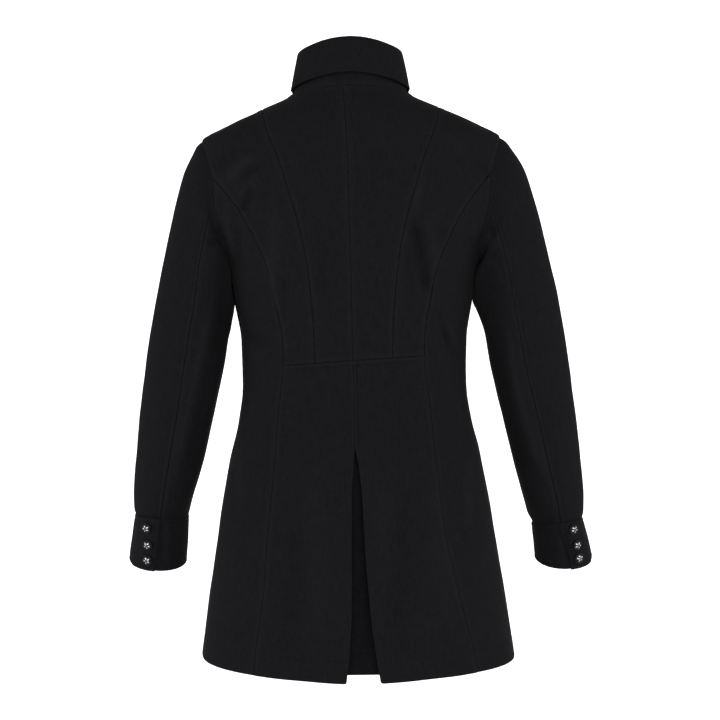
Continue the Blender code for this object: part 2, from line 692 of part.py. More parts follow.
def cuff_end(down, side):
    """The turn of the cuff's lapped edge at one height, which slants from the top to the mouth."""
    vent = CUFF_VENT[side]
    return math.radians(vent.top + (vent.mouth - vent.top) * down) + 2 * math.pi


def cuff_place(down, turn, side):
    """Points of the cuff's inner face at one height, with its last stretch lapped over its first."""
    end = cuff_end(down, side)
    lap = ease((turn - (end - CUFF_LAP_ANGLE - CUFF_LAP_RAMP)) / CUFF_LAP_RAMP)
    base = between_rings(CUFF[side], down * (len(CUFF[side]) - 1))
    level = ring(base, turn, WALL)
    raised = ring(base, turn, -2 * SEAM_GAP)
    return swung(level + (raised - level) * lap[:, None], side) * np.array([side, 1, 1])


def cuff(side):
    name = side_name(side)
    turn = np.linspace(-2 * math.pi - CUFF_LAP_ANGLE, 0, CUFF_COLUMNS + 1)
    heights = np.linspace(0, 1, CUFF_ROWS + 1)
    rows = [cuff_place(down, cuff_end(down, side) + turn, side) for down in heights]
    cloth("cuff_" + name, np.array(rows), side < 0)
    for number, (down, angle) in enumerate(CUFF_BUTTONS[side], start=1):
        near = math.radians(angle) + 2 * math.pi + np.array([-SMALL_TURN, 0, SMALL_TURN])
        level = cuff_place(down, near, side)
        fall = cuff_place(down + SMALL_STEP, near, side) - cuff_place(down - SMALL_STEP, near, side)
        outward = side * np.cross(fall[1], level[2] - level[0])
        place_button(f"cuff_button_{name}_{number}", level[1], outward, CUFF_BUTTON)


def place_button(name, point, outward, size):
    """A domed button with a rim, turned from its half outline, just off the cloth and facing out."""
    mesh = bpy.data.meshes.new(name)
    points = [(size.diameter / 2 * row.radius, 0, size.height * row.height) for row in BUTTON_PROFILE]
    mesh.from_pydata(points, [(i, i + 1) for i in range(len(points) - 1)], [])
    part = add_part(name, mesh, metal)
    turned = part.modifiers.new("Turned", "SCREW")
    turned.steps = BUTTON_SIDES
    turned.render_steps = BUTTON_SIDES
    turned.use_merge_vertices = True
    turned.merge_threshold = BUTTON_MERGE
    outward = Vector(outward).normalized()
    part.location = Vector(point) + outward * (WALL + size.gap)
    part.rotation_mode = "QUATERNION"
    part.rotation_quaternion = outward.to_track_quat("Z", "Y")


def front_buttons():
    for column, x in (("outer", FRONT_BUTTON_X), ("inner", -FRONT_BUTTON_X)):
        for number, z in enumerate(FRONT_BUTTON_Z, start=1):
            angle = front_angle(x, z)
            ahead = body(angle + SMALL_TURN, z) - body(angle - SMALL_TURN, z)
            rise = body(angle, z + SMALL_STEP) - body(angle, z - SMALL_STEP)
            outward = np.cross(rise, ahead)
            place_button(f"front_button_{column}_{number}", body(angle, z), outward, FRONT_BUTTON)


def neck_line(columns):
    """The neck seam from the left front round the back to the right front."""
    side_angle = float(depth_angle(SHOULDER_SEAM_Y, 0.0))
    neck_x = body(side_angle, 0.0)[0]
    turn = np.linspace(math.pi / 2 - math.asin(STAND_FRONT_GAP / neck_x), 0, DENSE)
    front_z = -NECK_FRONT_DROP * np.sin(turn)
    front = np.stack([front_angle(neck_x * np.cos(turn), front_z), front_z], axis=-1)
    front[-1] = (side_angle, 0.0)
    t = np.linspace(0, 1, DENSE)
    back = np.stack([side_angle * (1 - t), NECK_BACK_RISE * t], axis=-1)
    half = body(*joined(front, back).T)
    run = np.concatenate(([0], np.cumsum(np.linalg.norm(np.diff(half, axis=0), axis=1))))
    at = np.linspace(0, run[-1], columns // 2 + 1)
    left = np.stack([np.interp(at, run, half[:, k]) for k in range(3)], axis=-1)
    right = left[::-1][1:] * np.array([-1, 1, 1])
    return np.concatenate([left, right])


def by_place(points, back, side, front):
    """A value for each point of the neck, from its values at the middle back, side and front."""
    reach = np.where(points[:, 1] > 0, points[:, 1].max(), -points[:, 1].min())
    t = np.clip(points[:, 1] / reach, -1, 1)
    return np.where(t > 0, side + (back - side) * t**2, side + (front - side) * t**2)


def body_top(x, y):
    """The height of the body's outside above a place in plan, near the neck and shoulders."""
    low = np.full(x.shape, SHOULDER_LOW_Z)
    high = np.full(x.shape, BODY[0].z)
    for _ in range(HALVINGS):
        z = (low + high) / 2
        width, back, front, fullness = body_section(z)
        depth = np.where(y >= 0, back, front)
        inside = (np.abs(x) / width) ** fullness + (np.abs(y) / depth) ** fullness < 1
        low, high = np.where(inside, z, low), np.where(inside, high, z)
    return low


def collar():
    """The stand round the neck, and the fall that rolls over it and hangs outside."""
    seam = neck_line(COLLAR_COLUMNS)
    outward = np.gradient(seam[:, :2], axis=0)
    outward = np.stack([outward[:, 1], -outward[:, 0], 0 * outward[:, 0]], axis=-1)
    outward /= np.linalg.norm(outward, axis=1, keepdims=True)
    up = np.array([0, 0, 1])
    step = by_place(seam, STAND_SEAM_STEP, STAND_SEAM_STEP, STAND_FRONT_STEP)
    foot = seam - outward * step[:, None]
    rise = by_place(foot, STAND_RISE_BACK, STAND_RISE_SIDE, STAND_RISE_FRONT)
    top = foot * np.array([STAND_LEAN_SIDE, STAND_LEAN_BACK, 1]) + rise[:, None] * up
    steps = np.linspace(0, 1, STAND_ROWS + 1)[:, None, None]
    cloth("collar_stand", (1 - steps) * foot + steps * top, flip=True)

    flare = by_place(foot, FALL_FLARE_BACK, FALL_FLARE_SIDE, FALL_FLARE_FRONT)[:, None]
    drop = by_place(foot, FALL_DROP_BACK, FALL_DROP_SIDE, FALL_DROP_FRONT)[:, None]
    rows = []
    for turn in FALL_ROLL_TURNS:
        roll = outward * (WALL / 2 + FALL_ROLL * math.cos(turn)) + up * FALL_ROLL * math.sin(turn)
        rows.append(top + roll)
    rolled = rows[-1]
    for t in np.linspace(0, 1, FALL_ROWS)[1:]:
        rows.append(rolled + outward * flare * t - up * drop * t)
    fall = np.array(rows)
    resting = body_top(fall[..., 0], fall[..., 1]) + FALL_REST_GAP
    fall[..., 2] = np.maximum(fall[..., 2], resting)
    cloth("collar_fall", fall)


for leftover in list(bpy.data.objects):
    bpy.data.objects.remove(leftover)
coat_parts = bpy.data.collections.new("admiral_coat")
bpy.context.scene.collection.children.link(coat_parts)
coat = bpy.data.objects.new("coat", None)
coat_parts.objects.link(coat)
wool = make_material("black_wool", (0.0103, 0.0103, 0.0116), 0.9, 0.0)
metal = make_material("dark_metal", (0.05, 0.05, 0.055), 0.3, 1.0)

for hand in (1, -1):
    back_panels(hand)
    side_panel(hand)
    skirt_back(hand)
    front_panel(hand)
    sleeve(hand)
    cuff(hand)
pleat_underlay()
collar()
front_buttons()
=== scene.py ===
"""Admiral coat in black felted wool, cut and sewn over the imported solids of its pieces.

Metres, +Z up, in the frame of the solids: the origin is the middle of the neck base, the back faces
+Y and the wearer's left is +X. The coat is filled out as if worn, with nobody inside.
"""

import math
from collections import namedtuple

import bmesh
import bpy
import numpy as np
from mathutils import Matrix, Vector


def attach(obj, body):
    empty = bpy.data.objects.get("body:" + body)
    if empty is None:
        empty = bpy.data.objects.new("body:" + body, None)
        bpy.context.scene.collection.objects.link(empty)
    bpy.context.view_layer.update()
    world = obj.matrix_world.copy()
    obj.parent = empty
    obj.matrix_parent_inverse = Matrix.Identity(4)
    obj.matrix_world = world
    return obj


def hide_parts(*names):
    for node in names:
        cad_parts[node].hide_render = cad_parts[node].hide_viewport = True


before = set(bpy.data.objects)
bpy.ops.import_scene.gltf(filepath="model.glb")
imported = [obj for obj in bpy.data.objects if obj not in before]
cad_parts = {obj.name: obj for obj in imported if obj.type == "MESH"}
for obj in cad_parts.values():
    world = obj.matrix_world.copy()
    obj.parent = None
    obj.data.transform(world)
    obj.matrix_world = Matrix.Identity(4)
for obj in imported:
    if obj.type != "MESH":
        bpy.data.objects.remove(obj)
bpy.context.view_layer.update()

# Back panels: two centre backs and two mid backs of felted wool, cut from neck and shoulder to waist.
# They are sewn along the centre back and the princess seams, and every seam is pressed open, so that
# each edge rolls into a shallow groove. The rings of the whole body start here: all panels use them.
WALL = 0.002
SHELL = 0.0016
DENSE = 400

Level = namedtuple("Level", "z half_width back_depth front_depth fullness")
BODY = (
    Level(0.010, 0.078, 0.070, 0.050, 2.00),
    Level(0.000, 0.082, 0.072, 0.055, 2.00),
    Level(-0.0215, 0.1245, 0.085, 0.075, 2.05),
    Level(-0.0355, 0.1575, 0.092, 0.085, 2.10),
    Level(-0.050, 0.1855, 0.097, 0.091, 2.12),
    Level(-0.0585, 0.2020, 0.0996, 0.0944, 2.14),
    Level(-0.063, 0.2068, 0.1006, 0.0961, 2.16),
    Level(-0.070, 0.2095, 0.1019, 0.0987, 2.19),
    Level(-0.100, 0.213, 0.106, 0.108, 2.30),
    Level(-0.150, 0.214, 0.109, 0.120, 2.30),
    Level(-0.175, 0.205, 0.108, 0.125, 2.30),
    Level(-0.215, 0.180, 0.106, 0.128, 2.30),
    Level(-0.250, 0.170, 0.101, 0.124, 2.30),
    Level(-0.284, 0.165, 0.096, 0.118, 2.30),
    Level(-0.339, 0.156, 0.090, 0.106, 2.30),
    Level(-0.395, 0.155, 0.092, 0.104, 2.30),
    Level(-0.450, 0.1605, 0.104, 0.110, 2.25),
    Level(-0.492, 0.170, 0.116, 0.117, 2.20),
    Level(-0.562, 0.184, 0.134, 0.128, 2.20),
    Level(-0.631, 0.195, 0.148, 0.137, 2.15),
    Level(-0.701, 0.206, 0.159, 0.146, 2.10),
    Level(-0.780, 0.217, 0.170, 0.156, 2.10),
)
Fold = namedtuple("Fold", "face x_top z_top x_bottom z_bottom half_width height")
BROAD_FOLDS = (
    Fold(1, -0.150, -0.420, -0.156, -0.640, 0.022, 0.0035),
    Fold(1, 0.152, -0.450, 0.160, -0.650, 0.022, 0.0030),
    Fold(1, -0.086, -0.165, -0.090, -0.300, 0.020, -0.0030),
    Fold(1, 0.062, -0.560, 0.072, -0.800, 0.030, -0.0035),
    Fold(1, -0.085, -0.580, -0.098, -0.800, 0.028, -0.0035),
    Fold(-1, 0.150, -0.430, 0.158, -0.800, 0.026, -0.0040),
    Fold(-1, -0.148, -0.450, -0.160, -0.800, 0.026, -0.0040),
)
FOLD_FADE = 0.4
FOLD_RUN_OUT = 1.25

Seam = namedtuple("Seam", "z left right")
CENTRE_BACK = (
    Seam(0.010, 0.010, -0.010),
    Seam(-0.090, 0.005, -0.005),
    Seam(-0.200, 0.003, -0.003),
    Seam(-0.380, 0.001, -0.001),
)
INNER_PRINCESS = (
    Seam(-0.0205, 0.1225, 0.1225),
    Seam(-0.060, 0.1120, 0.1120),
    Seam(-0.100, 0.0965, 0.0965),
    Seam(-0.145, 0.0830, 0.0830),
    Seam(-0.176, 0.0735, 0.0735),
    Seam(-0.235, 0.0615, 0.0615),
    Seam(-0.285, 0.0560, 0.0560),
    Seam(-0.320, 0.0535, 0.0535),
    Seam(-0.380, 0.0515, 0.0515),
)
OUTER_PRINCESS = (
    Seam(-0.119, 0.1880, 0.1880),
    Seam(-0.140, 0.1700, 0.1700),
    Seam(-0.170, 0.1485, 0.1485),
    Seam(-0.210, 0.1280, 0.1280),
    Seam(-0.240, 0.1150, 0.1150),
    Seam(-0.285, 0.1060, 0.1060),
    Seam(-0.337, 0.0960, 0.0960),
    Seam(-0.370, 0.0950, 0.0950),
    Seam(-0.430, 0.1015, 0.1015),
    Seam(-0.490, 0.1060, 0.1060),
    Seam(-0.555, 0.1120, 0.1120),
    Seam(-0.605, 0.1170, 0.1180),
    Seam(-0.660, 0.1210, 0.1305),
    Seam(-0.710, 0.1275, 0.1425),
    Seam(-0.745, 0.1330, 0.1520),
    Seam(-0.790, 0.1380, 0.1610),
)
WAIST_Z = -0.368
WAIST_TILT = 0.055
NECK_BACK_RISE = 0.003
SHOULDER_SEAM_Y = 0.011
SHOULDER_PRINCESS_Z = INNER_PRINCESS[0].z
ARMHOLE_PRINCESS_Z = OUTER_PRINCESS[0].z
ARMHOLE_Z = -0.148
ARMHOLE_HALF_HEIGHT = 0.0865
ARMHOLE_HALF_DEPTH = 0.0625
ARMHOLE_PRINCESS_TURN = math.acos((ARMHOLE_PRINCESS_Z - ARMHOLE_Z) / ARMHOLE_HALF_HEIGHT)
SHOULDER_TIP_TURN = math.asin(SHOULDER_SEAM_Y / ARMHOLE_HALF_DEPTH)


def smooth(xs, ys, x):
    """A smooth curve through the points (xs, ys), with no overshoot between them, read at x."""
    xs = np.asarray(xs, float)
    ys = np.asarray(ys, float)
    if xs[0] > xs[-1]:
        xs, ys = xs[::-1], ys[::-1]
    step = np.diff(xs)
    slope = np.diff(ys) / step
    product = slope[:-1] * slope[1:]
    total = slope[:-1] + slope[1:]
    tangent = np.concatenate(([slope[0]], np.zeros(len(xs) - 2), [slope[-1]]))
    same = product > 0
    tangent[1:-1][same] = 2 * product[same] / total[same]
    i = np.clip(np.searchsorted(xs, x) - 1, 0, len(xs) - 2)
    t = np.clip((x - xs[i]) / step[i], 0, 1)
    rise = ys[i] * (1 + 2 * t) * (1 - t) ** 2 + ys[i + 1] * t**2 * (3 - 2 * t)
    return rise + step[i] * t * (1 - t) * (tangent[i] * (1 - t) - tangent[i + 1] * t)


def read(table, column, at, key="z"):
    """One column of a table at any place between its rows."""
    return smooth([getattr(row, key) for row in table], [getattr(row, column) for row in table], at)


def signed_power(value, power):
    return np.sign(value) * np.abs(value) ** power


def ease(t):
    """0 to 1 with a soft start and end."""
    t = np.clip(t, 0, 1)
    return t * t * (3 - 2 * t)


def body_section(z):
    """Outside half width, back depth, front depth and fullness of the body at a level."""
    return tuple(read(BODY, name, z) for name in Level._fields[1:])


def broad_fold_height(x, face, z):
    """How far the broad folds lift the cloth at a point of the back (face 1) or front (face -1)."""
    total = np.zeros(np.broadcast(x, z).shape)
    for fold in BROAD_FOLDS:
        along = (fold.z_top - z) / (fold.z_top - fold.z_bottom)
        middle = fold.x_top + (fold.x_bottom - fold.x_top) * along
        across = np.exp(-(((x - middle) / fold.half_width) ** 2))
        ends = ease(along / FOLD_FADE) * ease((FOLD_RUN_OUT - along) / FOLD_FADE)
        total = total + np.where(face == fold.face, fold.height * across * ends, 0)
    return total


def body(angle, z, side=1, out=0.0):
    """A point of the body's inner face. The angle is 0 at the middle back and pi at the front."""
    width, back, front, fullness = body_section(z)
    sin, cos = np.sin(angle), np.cos(angle)
    depth = np.where(cos >= 0, back, front)
    x = width * signed_power(sin, 2 / fullness)
    y = depth * signed_power(cos, 2 / fullness)
    lift = out - WALL + broad_fold_height(side * x, np.where(cos >= 0, 1, -1), z)
    return np.stack([side * (x + lift * sin), y + lift * cos, z + 0 * x], axis=-1)


def on_body(places, side=1, out=0.0):
    """The points of the body at the given (angle, z) places."""
    return body(places[..., 0], places[..., 1], side, out)


def back_angle(x, z):
    """The angle of a point of the back that lies x from the middle."""
    width, _, _, fullness = body_section(z)
    return np.arcsin(np.clip(signed_power(x / width, fullness / 2), -1, 1))


def back_places(x, z):
    return np.stack([back_angle(x, z), z], axis=-1)


def depth_angle(y, z):
    """The angle of a point of the side that lies y from the middle of the depth."""
    _, back, front, fullness = body_section(z)
    depth = np.where(y >= 0, back, front)
    return np.arccos(signed_power(y / depth, fullness / 2))


def side_places(y, z):
    return np.stack([depth_angle(y, z), z], axis=-1)


def running(points):
    """How far each point of a line, or of the rows of a grid, lies from its start."""
    steps = np.linalg.norm(np.diff(points, axis=-2), axis=-1)
    return np.concatenate([0 * steps[..., :1], np.cumsum(steps, axis=-1)], axis=-1)


def resampled(line, run, at):
    """The values of a line at other distances from its start."""
    return np.stack([np.interp(at, run, column) for column in line.T], axis=-1)


def spaced(line, rows, side=1):
    """The given line on the body, as (angle, z) places, cut into rows of equal real length."""
    run = running(on_body(line, side))
    return resampled(line, run, np.linspace(0, run[-1], rows + 1))


def back_seam(table, column, z_from, z_to, rows, side):
    """A seam of the back between two levels."""
    z = np.linspace(z_from, z_to, DENSE)
    return spaced(back_places(read(table, column, z), z), rows, side)


def waist_z(x, side):
    return WAIST_Z - WAIST_TILT * side * x


def waist_line(x_from, x_to, steps, side):
    """A stretch of the waist seam, between two distances from the middle."""
    x = np.linspace(x_from, x_to, steps + 1)
    return back_places(x, waist_z(x, side))


def armhole_line(turn, step=0.0):
    """The armhole's edge, or a line a step inside it. The turn is 0 on top, a quarter at the back."""
    z = ARMHOLE_Z + (ARMHOLE_HALF_HEIGHT - step) * np.cos(turn)
    y = (ARMHOLE_HALF_DEPTH - step) * np.sin(turn)
    return side_places(y, z)


def armhole(turn_from, turn_to, rows):
    return spaced(armhole_line(np.linspace(turn_from, turn_to, DENSE)), rows)


def shoulder_line(z_from, z_to, rows):
    """A stretch of the shoulder seam, between two levels."""
    z = np.linspace(z_from, z_to, DENSE)
    return spaced(side_places(SHOULDER_SEAM_Y + 0 * z, z), rows)


def straight(start, end, steps):
    t = np.linspace(0, 1, steps + 1)[:, None]
    return (1 - t) * np.asarray(start) + t * np.asarray(end)


def joined(*lines):
    """Lines that follow each other, with the shared ends kept once."""
    return np.concatenate([lines[0]] + [line[1:] for line in lines[1:]])


def patch(left, right, bottom, top, top_reach=1):
    """Fills four edges with a grid of (angle, z) places, rows upwards and columns left to right.

    The higher the reach, the nearer to the top its own curve fades out.
    """
    t = np.linspace(0, 1, len(left))[:, None, None] ** top_reach
    s = np.linspace(0, 1, len(bottom))[None, :, None]
    sides = (1 - s) * left[:, None] + s * right[:, None]
    ends = (1 - t) * bottom[None] + t * top[None]
    low = (1 - s) * bottom[0] + s * bottom[-1]
    high = (1 - s) * top[0] + s * top[-1]
    return sides + ends - (1 - t) * low - t * high


# How a cut piece of cloth is finished along an edge: the edge rolls in by a depth over a short run,
# the seam allowance under it raises a welt of some width, a turned-up band makes it thicker inside, and
# rows of stitches dip it at their distances from the edge.
Edge = namedtuple("Edge", "roll depth welt welt_width thick band stitches")
PRESSED_SEAM = Edge(0.0034, 0.0022, 0.0005, 0.0090, 0, 0, ())
SEAM_LAP = 0.0004
WELT_FADE = 0.26
GROOVE = 0.0014
# The painted highlight beside seams, and where it starts and ends, in groove and welt widths.
PAINTED_FLANK_HIGHLIGHT = 0.5
HIGHLIGHT_FROM_GROOVES = 0.6
HIGHLIGHT_TO_WELTS = 1.2
# How strongly crease height turns into painted shading: a painted highlight on ridges, painted shade in
# troughs.
CREASE_PAINTED_SHADING = 190
ROLL_PARTS = (0, 0.12, 0.3, 0.6, 1, 1.6)
STITCH_SPREAD = (-0.0018, -0.0009, 0, 0.0009, 0.0018)
STITCH_DIP = 0.00045
STITCH_DIP_WIDTH = 0.0012
BAND_STEP = 0.0012
PUCKER = 0.00009
PUCKER_LENGTH = 0.012
PUCKER_DRIFT = 2
PUCKER_DRIFT_LENGTH = 2.3 * PUCKER_LENGTH
PUCKER_REACH = 0.005
CUT_STEP = 0.0034
CLOSEST_LINES = 0.0003
FOLD_LINES = np.array((-6.0, -4.5, -3.2, -2.2, -1.4, -0.7, 0, 0.8, 1.6, 2.5, 3.4, 4.3, 5.2, 7.5)) / 1000
FOLD_MIDDLE = int(np.abs(FOLD_LINES).argmin())
ROW_STEP = 0.0044
SHORT_SHARE = 0.7
FEWEST_STEPS = 3
SHARP_ANGLE = math.radians(55)

# Creases of the upper back, as pairs of ridges and troughs: drag lines from the underarm towards the
# shoulder blade, and upright ones where the waist draws the cloth in. A bow bends a crease sideways.
Crease = namedtuple("Crease", "face from_u from_z to_u to_z half_width height bow")
FACE_WAYS = {"back": (0, 1, 1), "front": (0, 1, -1), "left": (1, 0, 1), "right": (1, 0, -1)}
FACE_FADE = 0.35
CREASE_ENDS = 0.28
UPPER_BACK_CREASES = (
    Crease("back", 0.167, -0.131, 0.116, -0.093, 0.0080, 0.0040, 0.008),
    Crease("back", 0.186, -0.110, 0.149, -0.081, 0.0080, -0.0025, 0.000),
    Crease("back", 0.148, -0.121, 0.117, -0.104, 0.0045, -0.0025, 0.000),
    Crease("back", 0.154, -0.151, 0.119, -0.116, 0.0055, 0.0028, 0.002),
    Crease("back", 0.151, -0.168, 0.130, -0.132, 0.0055, -0.0038, -0.002),
    Crease("back", 0.166, -0.148, 0.160, -0.229, 0.0050, 0.0026, -0.002),
    Crease("back", 0.154, -0.176, 0.152, -0.240, 0.0060, -0.0026, 0.000),
    Crease("back", 0.094, -0.148, 0.103, -0.302, 0.0080, 0.0032, -0.005),
    Crease("back", 0.091, -0.248, 0.095, -0.318, 0.0060, -0.0016, 0.000),
    Crease("back", 0.045, -0.180, 0.034, -0.300, 0.0140, -0.0012, 0.000),
    Crease("back", -0.077, -0.164, -0.101, -0.293, 0.0070, -0.0042, 0.001),
    Crease("back", -0.096, -0.166, -0.113, -0.252, 0.0060, 0.0028, 0.000),
    Crease("back", -0.092, -0.122, -0.081, -0.182, 0.0050, 0.0022, 0.000),
    Crease("back", -0.068, -0.200, -0.078, -0.290, 0.0060, -0.0014, 0.002),
    Crease("back", -0.164, -0.098, -0.190, -0.128, 0.0060, -0.0026, 0.000),
    Crease("back", -0.150, -0.090, -0.112, -0.066, 0.0100, 0.0018, -0.003),
    Crease("back", -0.030, -0.080, -0.026, -0.200, 0.0180, -0.0010, 0.000),
)
UNEVEN_SEED = 11
UNEVEN_WAVES = 16
UNEVEN_LENGTHS = (0.028, 0.095)
UNEVEN_HEIGHT = 0.00020


def close_places(edge):
    """Where the mesh lines lie beside an edge: close in its roll, at its stitches and at its band."""
    places = {edge.roll * part for part in ROLL_PARTS}
    for offset in edge.stitches:
        places |= {offset + spread for spread in STITCH_SPREAD}
    if edge.welt:
        half_fade = WELT_FADE * edge.welt_width / 2
        places |= {edge.welt_width - half_fade, edge.welt_width + half_fade}
    if edge.band:
        places |= {edge.band - BAND_STEP, edge.band, edge.band + BAND_STEP}
    places = sorted(places)
    filled = [places[0]]
    for place in places[1:]:
        if place - filled[-1] < CLOSEST_LINES:
            continue
        count = max(1, round((place - filled[-1]) / CUT_STEP))
        filled += list(np.linspace(filled[-1], place, count + 1)[1:])
    return np.array(filled)


def recut(points, first, last, step, fold=None):
    """The rows of a grid cut anew, a lap longer: close lines beside both ends and a fold, else even ones.

    Gives the new grid, and the new column of the fold, whose old column is given.
    """
    start = points[:, 0] - points[:, 1]
    end = points[:, -1] - points[:, -2]
    start *= SEAM_LAP / np.linalg.norm(start, axis=-1, keepdims=True)
    end *= SEAM_LAP / np.linalg.norm(end, axis=-1, keepdims=True)
    points = np.array(points)
    points[:, 0] += start
    points[:, -1] += end
    run = running(points)
    blocks = []
    for at in run:
        squeeze = min(1, SHORT_SHARE * at[-1] / (first[-1] + last[-1]))
        row = [first * squeeze, at[-1] - last[::-1] * squeeze]
        if fold is not None:
            row.insert(1, at[fold] + FOLD_LINES)
        blocks.append(row)
    gaps = range(len(blocks[0]) - 1)
    widest = [max(row[i + 1][0] - row[i][-1] for row in blocks) for i in gaps]
    counts = [max(FEWEST_STEPS, round(gap / step)) for gap in widest]
    rows = []
    for line, at, row in zip(points, run, blocks):
        to = [row[0]]
        for count, block in zip(counts, row[1:]):
            to += [np.linspace(to[-1][-1], block[0], count + 1)[1:-1], block]
        to = np.concatenate(to)
        rows.append(resampled(line, at, to))
    return np.array(rows), len(first) + counts[0] - 1 + FOLD_MIDDLE


def edge_height(edge, away, along):
    """How an edge's roll, its stitches and its small puckers move the cloth, at distances from it."""
    roll = np.clip(1 - away / edge.roll, 0, 1)
    height = -edge.depth * (1 - np.sqrt(1 - roll**2))
    for offset in edge.stitches:
        height = height - STITCH_DIP * np.exp(-(((away - offset) / STITCH_DIP_WIDTH) ** 2))
    if edge.welt:
        height = height + edge.welt * ease((edge.welt_width - away) / (WELT_FADE * edge.welt_width) + 0.5)
    drift = PUCKER_DRIFT * np.sin(along / PUCKER_DRIFT_LENGTH)
    wave = np.sin(2 * math.pi * along / PUCKER_LENGTH + drift)
    return height + PUCKER * wave * np.exp(-away / PUCKER_REACH)


def seam_shading(edge, away):
    """Painted shading beside a sewn edge: painted shade in the seam's groove and a painted highlight beside
    it.
    """
    if not edge.welt:
        return 0 * away
    beside = ease(away / GROOVE - HIGHLIGHT_FROM_GROOVES) * ease(HIGHLIGHT_TO_WELTS - away / edge.welt_width)
    return PAINTED_FLANK_HIGHLIGHT * beside - ease(1 - away / GROOVE)


def crease_height(points, normals, creases):
    """How the listed creases lift the cloth. Each counts only on the side that it is placed on."""
    total = np.zeros(points.shape[:-1])
    for crease in creases:
        across_axis, facing_axis, sign = FACE_WAYS[crease.face]
        shown = ease(sign * normals[..., facing_axis] / FACE_FADE)
        start = np.array([crease.from_u, crease.from_z])
        run = np.array([crease.to_u, crease.to_z]) - start
        length = math.hypot(*run)
        place = points[..., (across_axis, 2)] - start
        along = place @ run / length**2
        off = (place[..., 0] * run[1] - place[..., 1] * run[0]) / length
        off = off - crease.bow * 4 * along * (1 - along)
        ends = ease(along / CREASE_ENDS) * ease((1 - along) / CREASE_ENDS)
        total = total + shown * ends * crease.height * np.exp(-((off / crease.half_width) ** 2))
    return total


def unevenness(points):
    """The slight, slow rise and fall that hanging cloth has all over."""
    waves = np.random.default_rng(UNEVEN_SEED)
    total = np.zeros(points.shape[:-1])
    for _ in range(UNEVEN_WAVES):
        way = waves.normal(size=3)
        turns = points @ way / np.linalg.norm(way) / waves.uniform(*UNEVEN_LENGTHS)
        total = total + np.sin(2 * math.pi * (turns + waves.uniform()))
    return UNEVEN_HEIGHT * total / math.sqrt(UNEVEN_WAVES)


def facing(points, way):
    """The outward direction at each point of a grid. The way, 1 or -1, says which face is outside."""
    normals = np.cross(np.gradient(points, axis=0), np.gradient(points, axis=1)) * way
    return normals / np.linalg.norm(normals, axis=-1, keepdims=True)


# A cut keeps its outside, outward directions, runs, rises, painted shading and the column of its fold.
Cut = namedtuple("Cut", "outer normals run rise wear fold")


def from_edges(run, rise):
    """How far each point of a cut lies from its left, right, bottom and top edges."""
    return run, run[:, -1:] - run, rise, rise[-1:] - rise


def lay_cloth(points, way, edges, creases, lift=WALL, fold=None, finish=None):
    """The outside of a cut piece: recut, creased and finished at its left, right, bottom and top edges.

    The painted shading that it keeps is a painted highlight on crease ridges and beside seams and painted
    shade in crease troughs and seam grooves. A finish shapes the cloth beside a fold, and adds painted
    shading there, given the distance from the fold and the height.
    """
    left, right, bottom, top = edges
    points, fold = recut(points, close_places(left), close_places(right), CUT_STEP, fold)
    points, _ = recut(points.swapaxes(0, 1), close_places(bottom), close_places(top), ROW_STEP)
    points = points.swapaxes(0, 1)
    run = running(points)
    rise = running(points.swapaxes(0, 1)).swapaxes(0, 1)
    normals = facing(points, way)
    creased = crease_height(points, normals, creases)
    height = creased + unevenness(points)
    # Painted shading: painted highlights on crease ridges and beside seams, painted shade in crease troughs
    # and seam grooves.
    wear = CREASE_PAINTED_SHADING * creased
    for edge, away, along in zip(edges, from_edges(run, rise), (rise, rise, run, run)):
        height = height + edge_height(edge, away, along)
        wear = wear + seam_shading(edge, away)
    if finish:
        folded_height, folded_shading = finish(run - run[:, fold:fold + 1], points[..., 2])
        height = height + folded_height
        wear = wear + folded_shading
    outer = points + normals * (lift + height)[..., None]
    return Cut(outer, facing(outer, way), run, rise, np.clip(wear, -1, 1), fold)


def put(name, data):
    """A new object in the scene, made of the given mesh, light or camera."""
    made = bpy.data.objects.new(name, data)
    bpy.context.scene.collection.objects.link(made)
    return made


def sew_shell(name, cut, way, edges):
    """A closed thin shell under the laid-out cloth, with its cut measured off as a UV map in metres."""
    rows, columns = cut.outer.shape[:2]
    count = rows * columns
    thick = np.full((rows, columns), SHELL)
    for edge, away in zip(edges, from_edges(cut.run, cut.rise)):
        if edge.band:
            thick = np.maximum(thick, SHELL + edge.thick * ease((edge.band - away) / BAND_STEP + 0.5))
    inner = cut.outer - cut.normals * thick[..., None]
    index = np.arange(count).reshape(rows, columns)
    corners = (index[:-1, :-1], index[:-1, 1:], index[1:, 1:], index[1:, :-1])
    quads = np.stack(corners, axis=-1).reshape(-1, 4)
    rim = np.concatenate([index[0, :-1], index[:-1, -1], index[-1, :0:-1], index[:0:-1, 0]])
    after = np.roll(rim, -1)
    walls = np.stack([after, rim, rim + count, after + count], axis=-1)
    faces = np.concatenate([quads, quads[:, ::-1] + count, walls])
    if way > 0:
        faces = faces[:, ::-1]
    mesh = bpy.data.meshes.new(name)
    points = np.concatenate([cut.outer.reshape(-1, 3), inner.reshape(-1, 3)])
    mesh.from_pydata(points.tolist(), [], faces.tolist())
    flat = np.tile(np.stack([cut.run, cut.rise], axis=-1).reshape(-1, 2), (2, 1)).astype(np.float32)
    laid = mesh.uv_layers.new(name="cut")
    laid.data.foreach_set("uv", flat[faces.reshape(-1)].reshape(-1))
    # The painted shading is kept on each point, for the wool's colour.
    painted_tone = mesh.attributes.new("wear", "FLOAT", "POINT")
    painted_tone.data.foreach_set("value", np.tile(cut.wear.reshape(-1), 2).astype(np.float32))
    mesh.shade_smooth()
    mesh.set_sharp_from_angle(angle=SHARP_ANGLE)
    mesh.materials.append(wool)
    return put(name, mesh)


